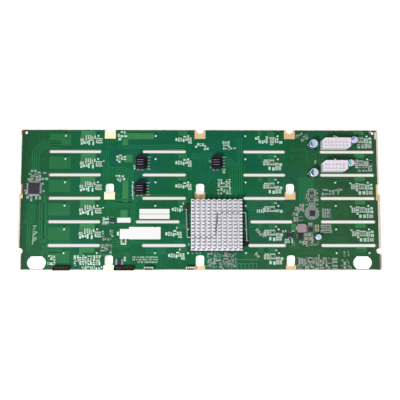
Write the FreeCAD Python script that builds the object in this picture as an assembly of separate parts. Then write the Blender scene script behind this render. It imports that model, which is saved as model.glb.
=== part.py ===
import FreeCAD, Part
import math
import os
from FreeCAD import Vector

# Drive backplane board for a rack server with 24 drive bays, seen from its
# component side. Millimetres, +Z up out of the component side, +X along the
# board, origin under the middle of the board at the drives' mating plane.

# ---------------------------------------------------------------- board
BOARD_W = 430.0
BOARD_D = 168.0
BOARD_T = 2.4
CORNER_CHAMFER = 2.0
UPPER_EDGE_STEP = 1.0        # upper half of each side edge stands this far in
FOOT_EDGE_STEP = 3.0         # left edge below its side notch stands this far in

# ---------------------------------------------------------------- bay grid
BAY_COLUMNS = 4
BAY_ROWS = 6
BAY_PITCH_X = 107.5
BAY_PITCH_Y = 28.0
RECEPTACLE_OFFSET_X = 20.2   # receptacle centre from the middle of its bay
FIRST_ROW_FROM_TOP = 6.0     # receptacle centre of the top row from the edge

# ---------------------------------------------------------------- receptacle
RECEPTACLE_L = 42.7
RECEPTACLE_W = 6.4
RECEPTACLE_H = 9.2
FOOT_W = 8.4
FOOT_T = 1.6
BLADE_SLOT_L = 33.4
BLADE_SLOT_W = 2.0
BLADE_SLOT_DEPTH = 6.6
KEY_L = 1.4
KEY_W = 1.6
GUIDE_NOTCH_L = 2.6
GUIDE_NOTCH_W = 2.6

# ---------------------------------------------------------------- board slots
AIR_SLOT_W = 3.2
AIR_SLOT_END_FLATS = 5       # each end is cut to this many flats, to stay light
AIR_SLOT_BELOW_ROW = 20.7    # slot centre below the receptacle row above it
AIR_SLOT_L = 61.6
AIR_SLOT_INSET = 35.1        # left end from the left wall of its bay
LAST_COLUMN_SLOT_L = 64.8
LAST_COLUMN_INSET = 36.5
SHORT_AIR_SLOT_L = 51.5
SECOND_COLUMN_INSET = 39.0
SECOND_COLUMN_SHIFT = -7.5   # fourth slot of the second column, moved left
THIRD_COLUMN_SLOT_L = 49.8
THIRD_COLUMN_INSET = 52.0
THIRD_COLUMN_SHIFT = 8.0     # fourth slot of the third column, moved right
ANCHOR_SIDE_SHIFT = 5.4      # fifth slot of the third column
HOOK_SLOT_W = 9.8
HOOK_SLOT_L = 12.7
HOOK_SLOT_R = 2.8            # its corners
LOW_HOOK_RISE = 11.2         # lower hook slots above the lower edge
HOOK_SPACING = 85.2          # from the lower hook slots up to the middle ones
EDGE_NOTCH_DEPTH = 2.6
EDGE_NOTCH_FLAT = 0.6        # its sides run straight this far in from the edge
TOP_NOTCH_W = 9.0
TOP_NOTCH_DEPTH = 5.0
SIDE_NOTCH_R = 3.0
SIDE_NOTCH_DEPTH = 6.0
SIDE_NOTCH_RISE = 22.8
OVAL_L = 22.6
OVAL_W = 14.8
OVAL_FROM_SIDE = 22.5
OVAL_RISE = 9.0
TOOLING_HOLE_D = 3.6
TOOLING_HOLE_FROM_SIDE = 7.2
TOOLING_HOLE_DROP = 3.8
CUT_OVERSHOOT = 1.0          # cutters reach this far past the faces they cut

# ---------------------------------------------------------------- heatsink
SINK_X = 19.4
SINK_DROP = 114.6            # middle of the heatsink below the top edge
SINK_SIDE = 60.0
SINK_BASE_T = 2.5
SINK_FIN_H = 7.0
FIN_COLUMNS = 10
FIN_PITCH = 6.2
FIN_T = 2.8
CROSS_CUTS = 15
CROSS_PITCH = 4.0
CROSS_CUT_W = 1.7
CLIP_CUT = 4                 # the clip's arms lie in this cut from each end

# ---------------------------------------------------------------- expander
CHIP_CARRIER_SIDE = 35.0
CHIP_CARRIER_T = 1.2
CHIP_LID_SIDE = 27.0
CHIP_LID_T = 1.0

# ---------------------------------------------------------------- wire clip
WIRE_D = 1.5
WIRE_BEND_CUT = 1.4          # each corner is cut back by this much along its runs
CLIP_LEG_OUT = 5.8           # leg's centre line outside the heatsink
CLIP_LEG_L = 35.2
CLIP_LEG_DROP = 1.6
CLIP_END_PAST_LOOP = 1.2
ANCHOR_W = 6.6
ANCHOR_D = 8.4
ANCHOR_H = 2.6
ANCHOR_INSET = 1.6           # its middle from the wire, towards the heatsink
ANCHOR_PAST = 2.4            # its middle beyond the loop, past the wire's end
LOOP_STRIP = 0.7
LOOP_CLEARANCE = 0.2

# ---------------------------------------------------------------- cable sockets
SOCKET_W = 10.4
SOCKET_D = 13.8
SOCKET_H = 11.0
SOCKET_SLOT_W = 8.2
SOCKET_SLOT_D = 3.4
SOCKET_SLOT_PITCH = 5.6
SOCKET_SLOT_DEPTH = 8.5
TONGUE_T = 0.9
TONGUE_RECESS = 1.2
LATCH_W = 2.6
LATCH_D = 11.0
LATCH_H = 4.0
# x, and y down from the top edge
SOCKET_PLACES = [(-70.7, 40.6), (-71.5, 71.4), (19.1, 40.6)]

# ---------------------------------------------------------------- power headers
HEADER_PITCH = 4.2
HEADER_CELL = 3.3
HEADER_END_WALL = 2.0        # outside the end cell's share of the pitch
HEADER_SIDE_WALL = 2.2
HEADER_H = 12.6
HEADER_CHAMFER_L = 3.4
HEADER_CHAMFER_D = 2.6
HEADER_FLOOR_T = 3.0
HEADER_PIN_SIDE = 1.1
HEADER_PIN_H = 8.0
LATCH_RAMP_W = 2.4
LATCH_RAMP_OUT = 1.4
LATCH_RAMP_H = 9.0
HEADER_LEFT_X = 145.0
# columns of cells, and each header's middle down from the top edge
HEADERS = [(7, 17.8), (6, 44.8)]

# ---------------------------------------------------------------- capacitors
CAN_FOOT_MARGIN = 0.15       # square foot outside the can, each side
CAN_FOOT_T = 1.2
CAN_FOOT_CHAMFER = 1.6
# name: (x, y down from the top edge, diameter, height of the can)
CANS = {
    "can_capacitor_1": (134.6, 18.3, 10.0, 10.0),
    "can_capacitor_2": (134.6, 52.8, 10.0, 10.0),
    "can_capacitor_3": (183.1, 13.7, 8.0, 9.6),
    "can_capacitor_4": (178.7, 41.3, 8.0, 9.6),
    "small_can_capacitor": (139.6, 128.8, 6.8, 5.8),
}

# ---------------------------------------------------------------- chips
# name: (x, y down from the top edge, length along x, length along y, height)
CHIPS = {
    "enclosure_controller": (-197.0, 71.0, 14.0, 14.0, 1.4),
    "clock_buffer": (133.6, 100.6, 7.0, 7.0, 1.0),
    "regulator_chip_1": (131.2, 119.8, 6.0, 6.0, 1.0),
    "regulator_chip_2": (106.4, 126.2, 8.4, 5.4, 1.5),
    "regulator_chip_3": (119.2, 127.6, 7.0, 5.6, 1.5),
    "flash_memory": (-104.2, 108.5, 5.2, 5.2, 1.6),
}
LEVEL_SHIFTER_X = -95.0
LEVEL_SHIFTER_GAP = 2.1      # clear space between it and the header below it
LEVEL_SHIFTER_L = 5.0
LEVEL_SHIFTER_D = 7.0
LEVEL_SHIFTER_H = 1.2
CHIP_DRAFT = 0.25            # side walls lean in by this much, up from the board
INDUCTOR_L = 10.6
INDUCTOR_D = 10.0
INDUCTOR_H = 4.0
INDUCTOR_EDGE = 1.2
INDUCTOR_PLACE = (120.4, 118.2)

# ---------------------------------------------------------------- edge headers
EDGE_HEADER_D = 4.4
EDGE_HEADER_H = 6.0
EDGE_HEADER_WALL = 0.8
EDGE_HEADER_DEPTH = 4.6
EDGE_HEADERS = {
    "sensor_header_1": (-162.6, 19.0),
    "sensor_header_2": (-89.4, 23.0),
    "jumper_socket_1": (-60.0, 10.8),
    "jumper_socket_2": (-11.0, 11.0),
}

# ---------------------------------------------------------------- levels
Z_UNDER = RECEPTACLE_H
Z_TOP = Z_UNDER + BOARD_T
Z_CARRIER_TOP = Z_TOP + CHIP_CARRIER_T
Z_SINK = Z_CARRIER_TOP + CHIP_LID_T
Z_SINK_FLOOR = Z_SINK + SINK_BASE_T
Z_WIRE = Z_SINK_FLOOR + WIRE_D / 2
HALF_W = BOARD_W / 2
HALF_D = BOARD_D / 2
LOW_HOOK_Y = LOW_HOOK_RISE - HALF_D
MID_HOOK_Y = LOW_HOOK_Y + HOOK_SPACING
SIDE_NOTCH_Y = SIDE_NOTCH_RISE - HALF_D
OVAL_Y = OVAL_RISE - HALF_D
SINK_Y = HALF_D - SINK_DROP
LEVEL_SHIFTER_Y = EDGE_HEADER_D + LEVEL_SHIFTER_GAP + LEVEL_SHIFTER_D / 2 - HALF_D


def box(x, y, z, length, depth, height):
    """A block centred on x, y that stands on z."""
    corner = Vector(x - length / 2, y - depth / 2, z)
    return Part.makeBox(length, depth, height, corner)


def prism(points, z, height):
    """A straight-sided block over a closed outline of x, y points."""
    corners = [Vector(x, y, z) for x, y in points]
    outline = Part.makePolygon(corners + corners[:1])
    return Part.Face(outline).extrude(Vector(0, 0, height))


def obround(x, y, length, depth, z, height):
    """A slot with round ends, along its longer side."""
    radius = min(length, depth) / 2
    run_x = length / 2 - radius
    run_y = depth / 2 - radius
    ends = [(x - run_x, y - run_y), (x + run_x, y + run_y)]
    body = box(x, y, z, max(length - 2 * radius, 2 * radius), max(depth - 2 * radius, 2 * radius), height)
    caps = [Part.makeCylinder(radius, height, Vector(cx, cy, z)) for cx, cy in ends]
    return body.fuse(caps).removeSplitter()


def rounded_block(x, y, length, depth, radius, z, height):
    """A block with its four upright edges rounded."""
    run_x = length / 2 - radius
    run_y = depth / 2 - radius
    bars = [box(x, y, z, length, 2 * run_y, height), box(x, y, z, 2 * run_x, depth, height)]
    posts = []
    for side_x in (-1, 1):
        for side_y in (-1, 1):
            foot = Vector(x + side_x * run_x, y + side_y * run_y, z)
            posts.append(Part.makeCylinder(radius, height, foot))
    return bars[0].fuse(bars[1:] + posts).removeSplitter()


def flat_ended_slot(x, y, length, width, z, height):
    """A slot along x whose round ends are cut to a few flats."""
    radius = width / 2
    run = length / 2 - radius
    points = []
    for side in (1, -1):
        for step in range(AIR_SLOT_END_FLATS + 1):
            angle = math.pi * (step / AIR_SLOT_END_FLATS - 0.5)
            end_x = radius * math.cos(angle) + run
            end_y = radius * math.sin(angle)
            points.append((x + side * end_x, y + side * end_y))
    return prism(points, z, height)


def frustum(x, y, z, length, depth, height, lean):
    """A moulded body whose side walls lean in by lean."""
    low = rectangle_wire(x, y, z, length, depth)
    high = rectangle_wire(x, y, z + height, length - 2 * lean, depth - 2 * lean)
    return Part.makeLoft([low, high], True, True)


def rectangle_wire(x, y, z, length, depth):
    """A closed rectangle centred on x, y at the level z."""
    dx = length / 2
    dy = depth / 2
    corners = [(-dx, -dy), (dx, -dy), (dx, dy), (-dx, dy), (-dx, -dy)]
    return Part.makePolygon([Vector(x + cx, y + cy, z) for cx, cy in corners])


def receptacle_centre(row, column):
    """Centre of the receptacle of a bay, rows counted down from the top edge."""
    x = -BAY_COLUMNS * BAY_PITCH_X / 2 + (column + 0.5) * BAY_PITCH_X + RECEPTACLE_OFFSET_X
    y = HALF_D - FIRST_ROW_FROM_TOP - row * BAY_PITCH_Y
    return x, y


def wall_positions():
    """x of the walls between bay columns, without the two at the board's sides."""
    return [(column - BAY_COLUMNS / 2) * BAY_PITCH_X for column in range(1, BAY_COLUMNS)]


# ---------------------------------------------------------------- board
def board_outline():
    """Plan of the bare board with its stepped side edges and cut corners."""
    upper = HALF_W - UPPER_EDGE_STEP
    foot = HALF_W - FOOT_EDGE_STEP
    cut = CORNER_CHAMFER
    return [
        (-foot, -HALF_D),
        (HALF_W - cut, -HALF_D),
        (HALF_W, -HALF_D + cut),
        (HALF_W, MID_HOOK_Y),
        (upper, MID_HOOK_Y),
        (upper, HALF_D),
        (-upper + cut, HALF_D),
        (-upper, HALF_D - cut),
        (-upper, MID_HOOK_Y),
        (-HALF_W, MID_HOOK_Y),
        (-HALF_W, SIDE_NOTCH_Y),
        (-foot, SIDE_NOTCH_Y),
    ]


def air_slot_spans(column):
    """Left inset and length of the five slots between the rows of a column."""
    gaps = BAY_ROWS - 1
    if column == 1:
        shifts = [0, 0, 0, SECOND_COLUMN_SHIFT, 0]
        return [(SECOND_COLUMN_INSET + shift, SHORT_AIR_SLOT_L) for shift in shifts]
    if column == 2:
        shifts = [0, 0, 0, THIRD_COLUMN_SHIFT, 0]
        spans = [(THIRD_COLUMN_INSET + shift, THIRD_COLUMN_SLOT_L) for shift in shifts]
        spans[-1] = (THIRD_COLUMN_INSET + ANCHOR_SIDE_SHIFT, THIRD_COLUMN_SLOT_L - ANCHOR_SIDE_SHIFT)
        return spans
    if column == BAY_COLUMNS - 1:
        return [(LAST_COLUMN_INSET, LAST_COLUMN_SLOT_L)] * gaps
    return [(AIR_SLOT_INSET, AIR_SLOT_L)] * gaps


def air_slots(z, height):
    cutters = []
    for column in range(BAY_COLUMNS):
        wall = (column - BAY_COLUMNS / 2) * BAY_PITCH_X
        for gap, (inset, length) in enumerate(air_slot_spans(column)):
            y = receptacle_centre(gap, column)[1] - AIR_SLOT_BELOW_ROW
            slot = flat_ended_slot(wall + inset + length / 2, y, length, AIR_SLOT_W, z, height)
            cutters.append(slot)
    return cutters


def hook_slots(z, height):
    """Slots and open notches on the column walls that the carrier's hooks enter."""
    cutters = []
    for x in wall_positions():
        for y in (MID_HOOK_Y, LOW_HOOK_Y):
            cutters.append(rounded_block(x, y, HOOK_SLOT_W, HOOK_SLOT_L, HOOK_SLOT_R, z, height))
        notch_reach = 2 * TOP_NOTCH_DEPTH
        cutters.append(obround(x, HALF_D, TOP_NOTCH_W, notch_reach + 0.01, z, height))
    for side in (-1, 1):
        edge = side * HALF_W
        notch_r = EDGE_NOTCH_DEPTH - EDGE_NOTCH_FLAT
        cutters.append(rounded_block(edge, MID_HOOK_Y, 2 * EDGE_NOTCH_DEPTH, HOOK_SLOT_L, notch_r, z, height))
        cutters.append(obround(edge, SIDE_NOTCH_Y, 2 * SIDE_NOTCH_DEPTH, 2 * SIDE_NOTCH_R, z, height))
    return cutters


def board():
    blank = prism(board_outline(), Z_UNDER, BOARD_T)
    z = Z_UNDER - CUT_OVERSHOOT
    height = BOARD_T + 2 * CUT_OVERSHOOT
    cutters = air_slots(z, height) + hook_slots(z, height)
    for side in (-1, 1):
        oval_x = side * (HALF_W - OVAL_FROM_SIDE)
        cutters.append(obround(oval_x, OVAL_Y, OVAL_L, OVAL_W, z, height))
        hole_x = side * (HALF_W - TOOLING_HOLE_FROM_SIDE)
        hole = Vector(hole_x, HALF_D - TOOLING_HOLE_DROP, z)
        cutters.append(Part.makeCylinder(TOOLING_HOLE_D / 2, height, hole))
    return blank.cut(cutters)


# ---------------------------------------------------------------- receptacle
def receptacle(x, y):
    """Drive receptacle under the board, with its keyed blade slot facing down."""
    foot = box(x, y, Z_UNDER - FOOT_T, RECEPTACLE_L, FOOT_W, FOOT_T)
    body = box(x, y, 0, RECEPTACLE_L, RECEPTACLE_W, Z_UNDER - FOOT_T)
    guide_depth = Z_UNDER - FOOT_T
    notch_x = RECEPTACLE_L / 2 - GUIDE_NOTCH_L / 2
    notches = [
        box(x + side * notch_x, y, 0, GUIDE_NOTCH_L, GUIDE_NOTCH_W, guide_depth)
        for side in (-1, 1)
    ]
    blade = box(x, y, 0, BLADE_SLOT_L, BLADE_SLOT_W, BLADE_SLOT_DEPTH)
    key_x = x - BLADE_SLOT_L / 2 + KEY_L / 2
    key_y = y + BLADE_SLOT_W / 2 + KEY_W / 2
    key = box(key_x, key_y, 0, KEY_L, KEY_W, BLADE_SLOT_DEPTH)
    return body.cut(notches + [blade, key]).fuse(foot).removeSplitter()


# ---------------------------------------------------------------- heatsink
def heatsink():
    """Extruded fins along y, sawn across into pins above the base."""
    block = box(SINK_X, SINK_Y, Z_SINK, SINK_SIDE, SINK_SIDE, SINK_BASE_T + SINK_FIN_H)
    channel = FIN_PITCH - FIN_T
    reach = SINK_SIDE + 2 * CUT_OVERSHOOT
    cut_h = SINK_FIN_H + CUT_OVERSHOOT
    cutters = []
    for index in range(FIN_COLUMNS - 1):
        x = SINK_X + (index - (FIN_COLUMNS - 2) / 2) * FIN_PITCH
        cutters.append(box(x, SINK_Y, Z_SINK_FLOOR, channel, reach, cut_h))
    for index in range(CROSS_CUTS):
        y = SINK_Y + (index - (CROSS_CUTS - 1) / 2) * CROSS_PITCH
        cutters.append(box(SINK_X, y, Z_SINK_FLOOR, reach, CROSS_CUT_W, cut_h))
    return block.cut(cutters)


def expander_chip():
    carrier = box(SINK_X, SINK_Y, Z_TOP, CHIP_CARRIER_SIDE, CHIP_CARRIER_SIDE, CHIP_CARRIER_T)
    lid = box(SINK_X, SINK_Y, Z_CARRIER_TOP, CHIP_LID_SIDE, CHIP_LID_SIDE, CHIP_LID_T)
    return carrier.fuse(lid)


# ---------------------------------------------------------------- wire clip
def arm_offset():
    """Distance of the clip's arms from the heatsink's middle, in a cross cut."""
    return ((CROSS_CUTS - 1) / 2 - (CLIP_CUT - 1)) * CROSS_PITCH


def clip_path():
    """Corner points of the Z shape, from the left hook to the right one."""
    leg_x = SINK_SIDE / 2 + CLIP_LEG_OUT
    arm = arm_offset()
    low = -CLIP_LEG_DROP
    half = [(0, arm, 0), (leg_x, arm, 0), (leg_x, arm - CLIP_LEG_L, low)]
    other = [(-x, -y, z) for x, y, z in reversed(half)]
    return [Vector(SINK_X + x, SINK_Y + y, Z_WIRE + z) for x, y, z in other + half]


def cut_corners(corners, cut):
    """The path with each inner corner replaced by a short run across it."""
    points = [corners[0]]
    for before, corner, after in zip(corners, corners[1:], corners[2:]):
        points.append(corner + (before - corner).normalize() * cut)
        points.append(corner + (after - corner).normalize() * cut)
    return points + [corners[-1]]


def heatsink_clip():
    """Spring wire swept round its path, with a plain mitre at every turn."""
    points = cut_corners(clip_path(), WIRE_BEND_CUT)
    path = Part.makePolygon(points)
    heading = points[1] - points[0]
    section = Part.Wire(Part.makeCircle(WIRE_D / 2, points[0], heading))
    mitred = 1
    return path.makePipeShell([section], True, False, mitred)


def loop_place(side):
    """Point on the wire, short of its end, that passes under the anchor's loop."""
    path = clip_path() if side > 0 else clip_path()[::-1]
    end = path[-1]
    back = (path[-2] - end).normalize()
    return end + back * CLIP_END_PAST_LOOP


def clip_anchor(side):
    held = loop_place(side)
    x = held.x - side * ANCHOR_INSET
    y = held.y - side * ANCHOR_PAST
    return box(x, y, Z_TOP, ANCHOR_W, ANCHOR_D, ANCHOR_H)


def anchor_loop(side):
    """Bent strip on the anchor that holds the leg's end down."""
    held = loop_place(side)
    low = Z_TOP + ANCHOR_H
    inside_w = WIRE_D + 2 * LOOP_CLEARANCE
    inside_h = held.z + WIRE_D / 2 + LOOP_CLEARANCE - low
    outer = box(held.x, held.y, low, inside_w + 2 * LOOP_STRIP, LOOP_STRIP, inside_h + LOOP_STRIP)
    gap = box(held.x, held.y, low, inside_w, LOOP_STRIP, inside_h)
    return outer.cut(gap)


# ---------------------------------------------------------------- cable sockets
def cable_socket(x, y):
    """Upright socket with two slots, a contact tongue in each, and a latch ledge."""
    body = box(x, y, Z_TOP, SOCKET_W, SOCKET_D, SOCKET_H)
    ledge = box(x + SOCKET_W / 2 + LATCH_W / 2, y, Z_TOP, LATCH_W, LATCH_D, LATCH_H)
    slots = []
    for side in (-1, 1):
        slot_y = y + side * SOCKET_SLOT_PITCH / 2
        floor = Z_TOP + SOCKET_H - SOCKET_SLOT_DEPTH
        slot = box(x, slot_y, floor, SOCKET_SLOT_W, SOCKET_SLOT_D, SOCKET_SLOT_DEPTH)
        tongue_h = SOCKET_SLOT_DEPTH - TONGUE_RECESS
        tongue = box(x, slot_y, floor, SOCKET_SLOT_W, TONGUE_T, tongue_h)
        slots.append(slot.cut(tongue))
    return body.cut(slots).fuse(ledge).removeSplitter()


# ---------------------------------------------------------------- power headers
def header_middle(columns):
    return HEADER_LEFT_X + HEADER_END_WALL + columns * HEADER_PITCH / 2


def header_cells(columns, y):
    """Centres of the header's two rows of cells."""
    places = []
    for column in range(columns):
        cell_x = header_middle(columns) + (column - (columns - 1) / 2) * HEADER_PITCH
        for row in (-0.5, 0.5):
            places.append((cell_x, y + row * HEADER_PITCH))
    return places


def power_header(columns, y):
    """Housing with open cells, two cut corners and a latch ramp on the back."""
    x = header_middle(columns)
    dx = columns * HEADER_PITCH / 2 + HEADER_END_WALL
    dy = HEADER_PITCH + HEADER_SIDE_WALL
    cut_x = HEADER_CHAMFER_L
    cut_y = HEADER_CHAMFER_D
    outline = [
        (x - dx, y - dy),
        (x + dx - cut_x, y - dy),
        (x + dx, y - dy + cut_y),
        (x + dx, y + dy),
        (x - dx + cut_x, y + dy),
        (x - dx, y + dy - cut_y),
    ]
    body = prism(outline, Z_TOP, HEADER_H)
    ramp = latch_ramp(x, y + dy)
    floor = Z_TOP + HEADER_FLOOR_T
    depth = HEADER_H - HEADER_FLOOR_T
    cells = []
    for cell_x, cell_y in header_cells(columns, y):
        cells.append(box(cell_x, cell_y, floor, HEADER_CELL, HEADER_CELL, depth))
    return body.cut(cells).fuse(ramp)


def latch_ramp(x, y):
    """Wedge on the header's back wall that the plug's latch snaps over."""
    top = Z_TOP + HEADER_H
    profile = [
        Vector(x - LATCH_RAMP_W / 2, y, top - LATCH_RAMP_H),
        Vector(x - LATCH_RAMP_W / 2, y + LATCH_RAMP_OUT, top - LATCH_RAMP_OUT),
        Vector(x - LATCH_RAMP_W / 2, y, top),
    ]
    outline = Part.makePolygon(profile + profile[:1])
    return Part.Face(outline).extrude(Vector(LATCH_RAMP_W, 0, 0))


def power_pins(columns, y):
    side = HEADER_PIN_SIDE
    floor = Z_TOP + HEADER_FLOOR_T
    pins = [box(cx, cy, floor, side, side, HEADER_PIN_H) for cx, cy in header_cells(columns, y)]
    return Part.makeCompound(pins)


# ---------------------------------------------------------------- capacitors
def can_capacitor(x, y, diameter, height):
    """Round can on a square foot with two cut corners on its left."""
    half = diameter / 2 + CAN_FOOT_MARGIN
    cut = CAN_FOOT_CHAMFER
    foot = prism(
        [
            (x - half + cut, y - half),
            (x + half, y - half),
            (x + half, y + half),
            (x - half + cut, y + half),
            (x - half, y + half - cut),
            (x - half, y - half + cut),
        ],
        Z_TOP,
        CAN_FOOT_T,
    )
    can = Part.makeCylinder(diameter / 2, height, Vector(x, y, Z_TOP + CAN_FOOT_T))
    return foot.fuse(can)


# ---------------------------------------------------------------- small parts
def chip(x, y, length, depth, height):
    return frustum(x, y, Z_TOP, length, depth, height, CHIP_DRAFT)


def power_inductor():
    """Moulded block with its four upright edges cut back."""
    x = INDUCTOR_PLACE[0]
    y = HALF_D - INDUCTOR_PLACE[1]
    dx = INDUCTOR_L / 2
    dy = INDUCTOR_D / 2
    cut = INDUCTOR_EDGE
    outline = [
        (x - dx + cut, y - dy),
        (x + dx - cut, y - dy),
        (x + dx, y - dy + cut),
        (x + dx, y + dy - cut),
        (x + dx - cut, y + dy),
        (x - dx + cut, y + dy),
        (x - dx, y + dy - cut),
        (x - dx, y - dy + cut),
    ]
    return prism(outline, Z_TOP, INDUCTOR_H)


def edge_header(x, length):
    """Low open shroud along the bottom edge."""
    y = -HALF_D + EDGE_HEADER_D / 2
    wall = 2 * EDGE_HEADER_WALL
    body = box(x, y, Z_TOP, length, EDGE_HEADER_D, EDGE_HEADER_H)
    floor = Z_TOP + EDGE_HEADER_H - EDGE_HEADER_DEPTH
    well = box(x, y, floor, length - wall, EDGE_HEADER_D - wall, EDGE_HEADER_DEPTH)
    return body.cut(well)


def all_parts():
    """Every node of the model by name."""
    parts = {"board": board()}
    for row in range(BAY_ROWS):
        for column in range(BAY_COLUMNS):
            name = f"drive_receptacle_r{row + 1}c{column + 1}"
            parts[name] = receptacle(*receptacle_centre(row, column))
    parts["heatsink"] = heatsink()
    parts["expander_chip"] = expander_chip()
    parts["heatsink_clip"] = heatsink_clip()
    for side, word in ((-1, "left"), (1, "right")):
        parts[f"clip_anchor_{word}"] = clip_anchor(side)
        parts[f"anchor_loop_{word}"] = anchor_loop(side)
    for index, (x, drop) in enumerate(SOCKET_PLACES, 1):
        parts[f"cable_socket_{index}"] = cable_socket(x, HALF_D - drop)
    for index, (columns, drop) in enumerate(HEADERS, 1):
        parts[f"power_header_{index}"] = power_header(columns, HALF_D - drop)
        parts[f"power_pins_{index}"] = power_pins(columns, HALF_D - drop)
    for name, (x, drop, diameter, height) in CANS.items():
        parts[name] = can_capacitor(x, HALF_D - drop, diameter, height)
    for name, (x, drop, length, depth, height) in CHIPS.items():
        parts[name] = chip(x, HALF_D - drop, length, depth, height)
    shifter = (LEVEL_SHIFTER_L, LEVEL_SHIFTER_D, LEVEL_SHIFTER_H)
    parts["level_shifter"] = chip(LEVEL_SHIFTER_X, LEVEL_SHIFTER_Y, *shifter)
    parts["power_inductor"] = power_inductor()
    for name, size in EDGE_HEADERS.items():
        parts[name] = edge_header(*size)
    return parts


def main():
    os.makedirs("parts", exist_ok=True)
    for name, shape in all_parts().items():
        shape.exportStep(f"parts/{name}.step")
        print(f"{name}: {len(shape.Solids)} solid(s), valid {shape.isValid()}, volume {shape.Volume:.1f}")


main()
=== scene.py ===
import math
import random
from functools import partialmethod

import bpy
from mathutils import Matrix, Vector


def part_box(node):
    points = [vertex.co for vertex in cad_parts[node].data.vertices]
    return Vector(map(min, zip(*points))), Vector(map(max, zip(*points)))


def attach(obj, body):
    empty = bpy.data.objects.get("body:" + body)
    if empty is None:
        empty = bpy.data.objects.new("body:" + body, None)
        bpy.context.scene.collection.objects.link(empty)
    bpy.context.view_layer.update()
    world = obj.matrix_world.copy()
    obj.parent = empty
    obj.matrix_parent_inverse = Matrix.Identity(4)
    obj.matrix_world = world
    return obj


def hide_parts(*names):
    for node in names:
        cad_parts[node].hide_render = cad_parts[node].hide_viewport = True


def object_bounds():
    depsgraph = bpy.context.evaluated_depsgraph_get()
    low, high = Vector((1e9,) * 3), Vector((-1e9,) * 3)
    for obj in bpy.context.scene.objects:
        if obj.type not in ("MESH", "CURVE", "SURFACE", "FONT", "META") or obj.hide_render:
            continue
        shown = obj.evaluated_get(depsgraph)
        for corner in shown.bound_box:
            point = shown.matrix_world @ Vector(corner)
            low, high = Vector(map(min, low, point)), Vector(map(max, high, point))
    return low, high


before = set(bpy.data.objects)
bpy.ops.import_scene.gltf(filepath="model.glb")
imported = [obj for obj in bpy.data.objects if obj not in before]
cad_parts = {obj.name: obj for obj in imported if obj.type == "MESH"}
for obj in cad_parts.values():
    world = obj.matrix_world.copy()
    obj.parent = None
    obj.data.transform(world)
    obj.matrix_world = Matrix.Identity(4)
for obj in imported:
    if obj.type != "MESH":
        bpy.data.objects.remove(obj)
CAD_LOW, CAD_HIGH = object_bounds()

bl_info = {
    "name": "Drive Backplane Dresser",
    "version": (1, 0, 0),
    "blender": (4, 5, 0),
    "location": "3D View > Sidebar > Backplane",
    "description": "Dresses a server drive backplane board with its small parts, finishes and stage",
    "category": "Object",
}

# Shapes are worked out in millimetres and turned to metres when a mesh is made.
MM = 0.001
BODY = "root"

# Levels and grid read from the frame
BOARD_LOW, BOARD_HIGH = (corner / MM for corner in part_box("board"))
Z_TOP = BOARD_HIGH.z
Z_UNDER = BOARD_LOW.z
SEAT = 0.02                  # what is added reaches this far into what carries it
Z_SEAT = Z_TOP - SEAT
ROWS = 6
COLUMNS = 4


def box_of(node):
    """Lowest and highest corner of a node in millimetres."""
    low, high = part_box(node)
    return low / MM, high / MM


def middle_of(node):
    low, high = box_of(node)
    return (low + high) / 2


def flat_box(node, grow=0.0):
    """A node's box seen from above, as x0, y0, x1, y1, made larger by grow on each side."""
    low, high = box_of(node)
    return (low.x - grow, low.y - grow, high.x + grow, high.y + grow)


def receptacle_name(row, column):
    return f"drive_receptacle_r{row + 1}c{column + 1}"


RECEPTACLES = {
    (row, column): middle_of(receptacle_name(row, column))
    for row in range(ROWS)
    for column in range(COLUMNS)
}
BAY_PITCH_X = RECEPTACLES[0, 1].x - RECEPTACLES[0, 0].x
WALLS = [(column - COLUMNS / 2) * BAY_PITCH_X for column in range(1, COLUMNS)]
FIN_PITCH = 6.2
HEADER_PITCH = 4.2
MID_HOOK_Y = 12.4
LOW_HOOK_Y = -72.8

# Air slots: x of both ends in each column, and how far the ends of single slots
# are moved, by row and column
SLOT_DROP = 20.7             # from a row of receptacles down to its slots
SLOT_HALF_W = 1.6
SLOT_ENDS = [(-179.9, -118.3), (-68.5, -17), (52, 101.8), (144, 208.8)]
SLOT_SHIFTS = {(3, 1): (-7.5, -7.5), (3, 2): (8, 8), (4, 2): (5.4, 0)}


def air_slots():
    """Both ends and the middle line of every air slot, as x0, x1, y."""
    slots = []
    for row in range(ROWS - 1):
        y = RECEPTACLES[row, 0].y - SLOT_DROP
        for column, (left, right) in enumerate(SLOT_ENDS):
            shift_left, shift_right = SLOT_SHIFTS.get((row, column), (0, 0))
            slots.append((left + shift_left, right + shift_right, y))
    return slots


AIR_SLOTS = air_slots()

# Clear space round the board's cuts: half width, then lowest and highest y
HOOK_ROOM = (6.6, -13, 8)    # from the middle of a hook slot
TOP_NOTCH_ROOM = (6.8, 72.6, 85)
# The same for the oval holes and the side notches, with x of the middle first
END_ROOMS = [(192.5, 12.2, -83.2, -66.8), (211, 5, -65.5, -57), (214, 5, 0, 23.5)]
AIR_SLOT_ROOM = 0.9
PART_ROOM = 0.6              # round the solids that stand on the board
PEG_ROOM = (1.6, 3.2)        # half width and depth of the clear space round a peg

# Blank stickers as x0, y0, x1, y1
TWO_ROW_LABEL = (-71.9, -23.3, -36.1, -11.4)
SMALL_LABEL = (-98.1, -27.7, -82.2, -21.9)
STEPPED_LABEL_LEFT = (-94.8, -47, -83.2, -35.2)
STEPPED_LABEL = (-84, -47.4, -46.6, -32.8)
LABEL_BOXES = [TWO_ROW_LABEL, SMALL_LABEL, STEPPED_LABEL_LEFT, STEPPED_LABEL]
HIGH_NODES = ("heatsink", "power_header", "cable_socket", "can_", "clip_anchor")
COVERED = LABEL_BOXES + [
    flat_box(node, 0.8)
    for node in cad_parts
    if node.startswith(HIGH_NODES) and node != "heatsink_clip"
]
PEG_REACH = 19.5             # from a receptacle's middle to its pegs


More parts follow.
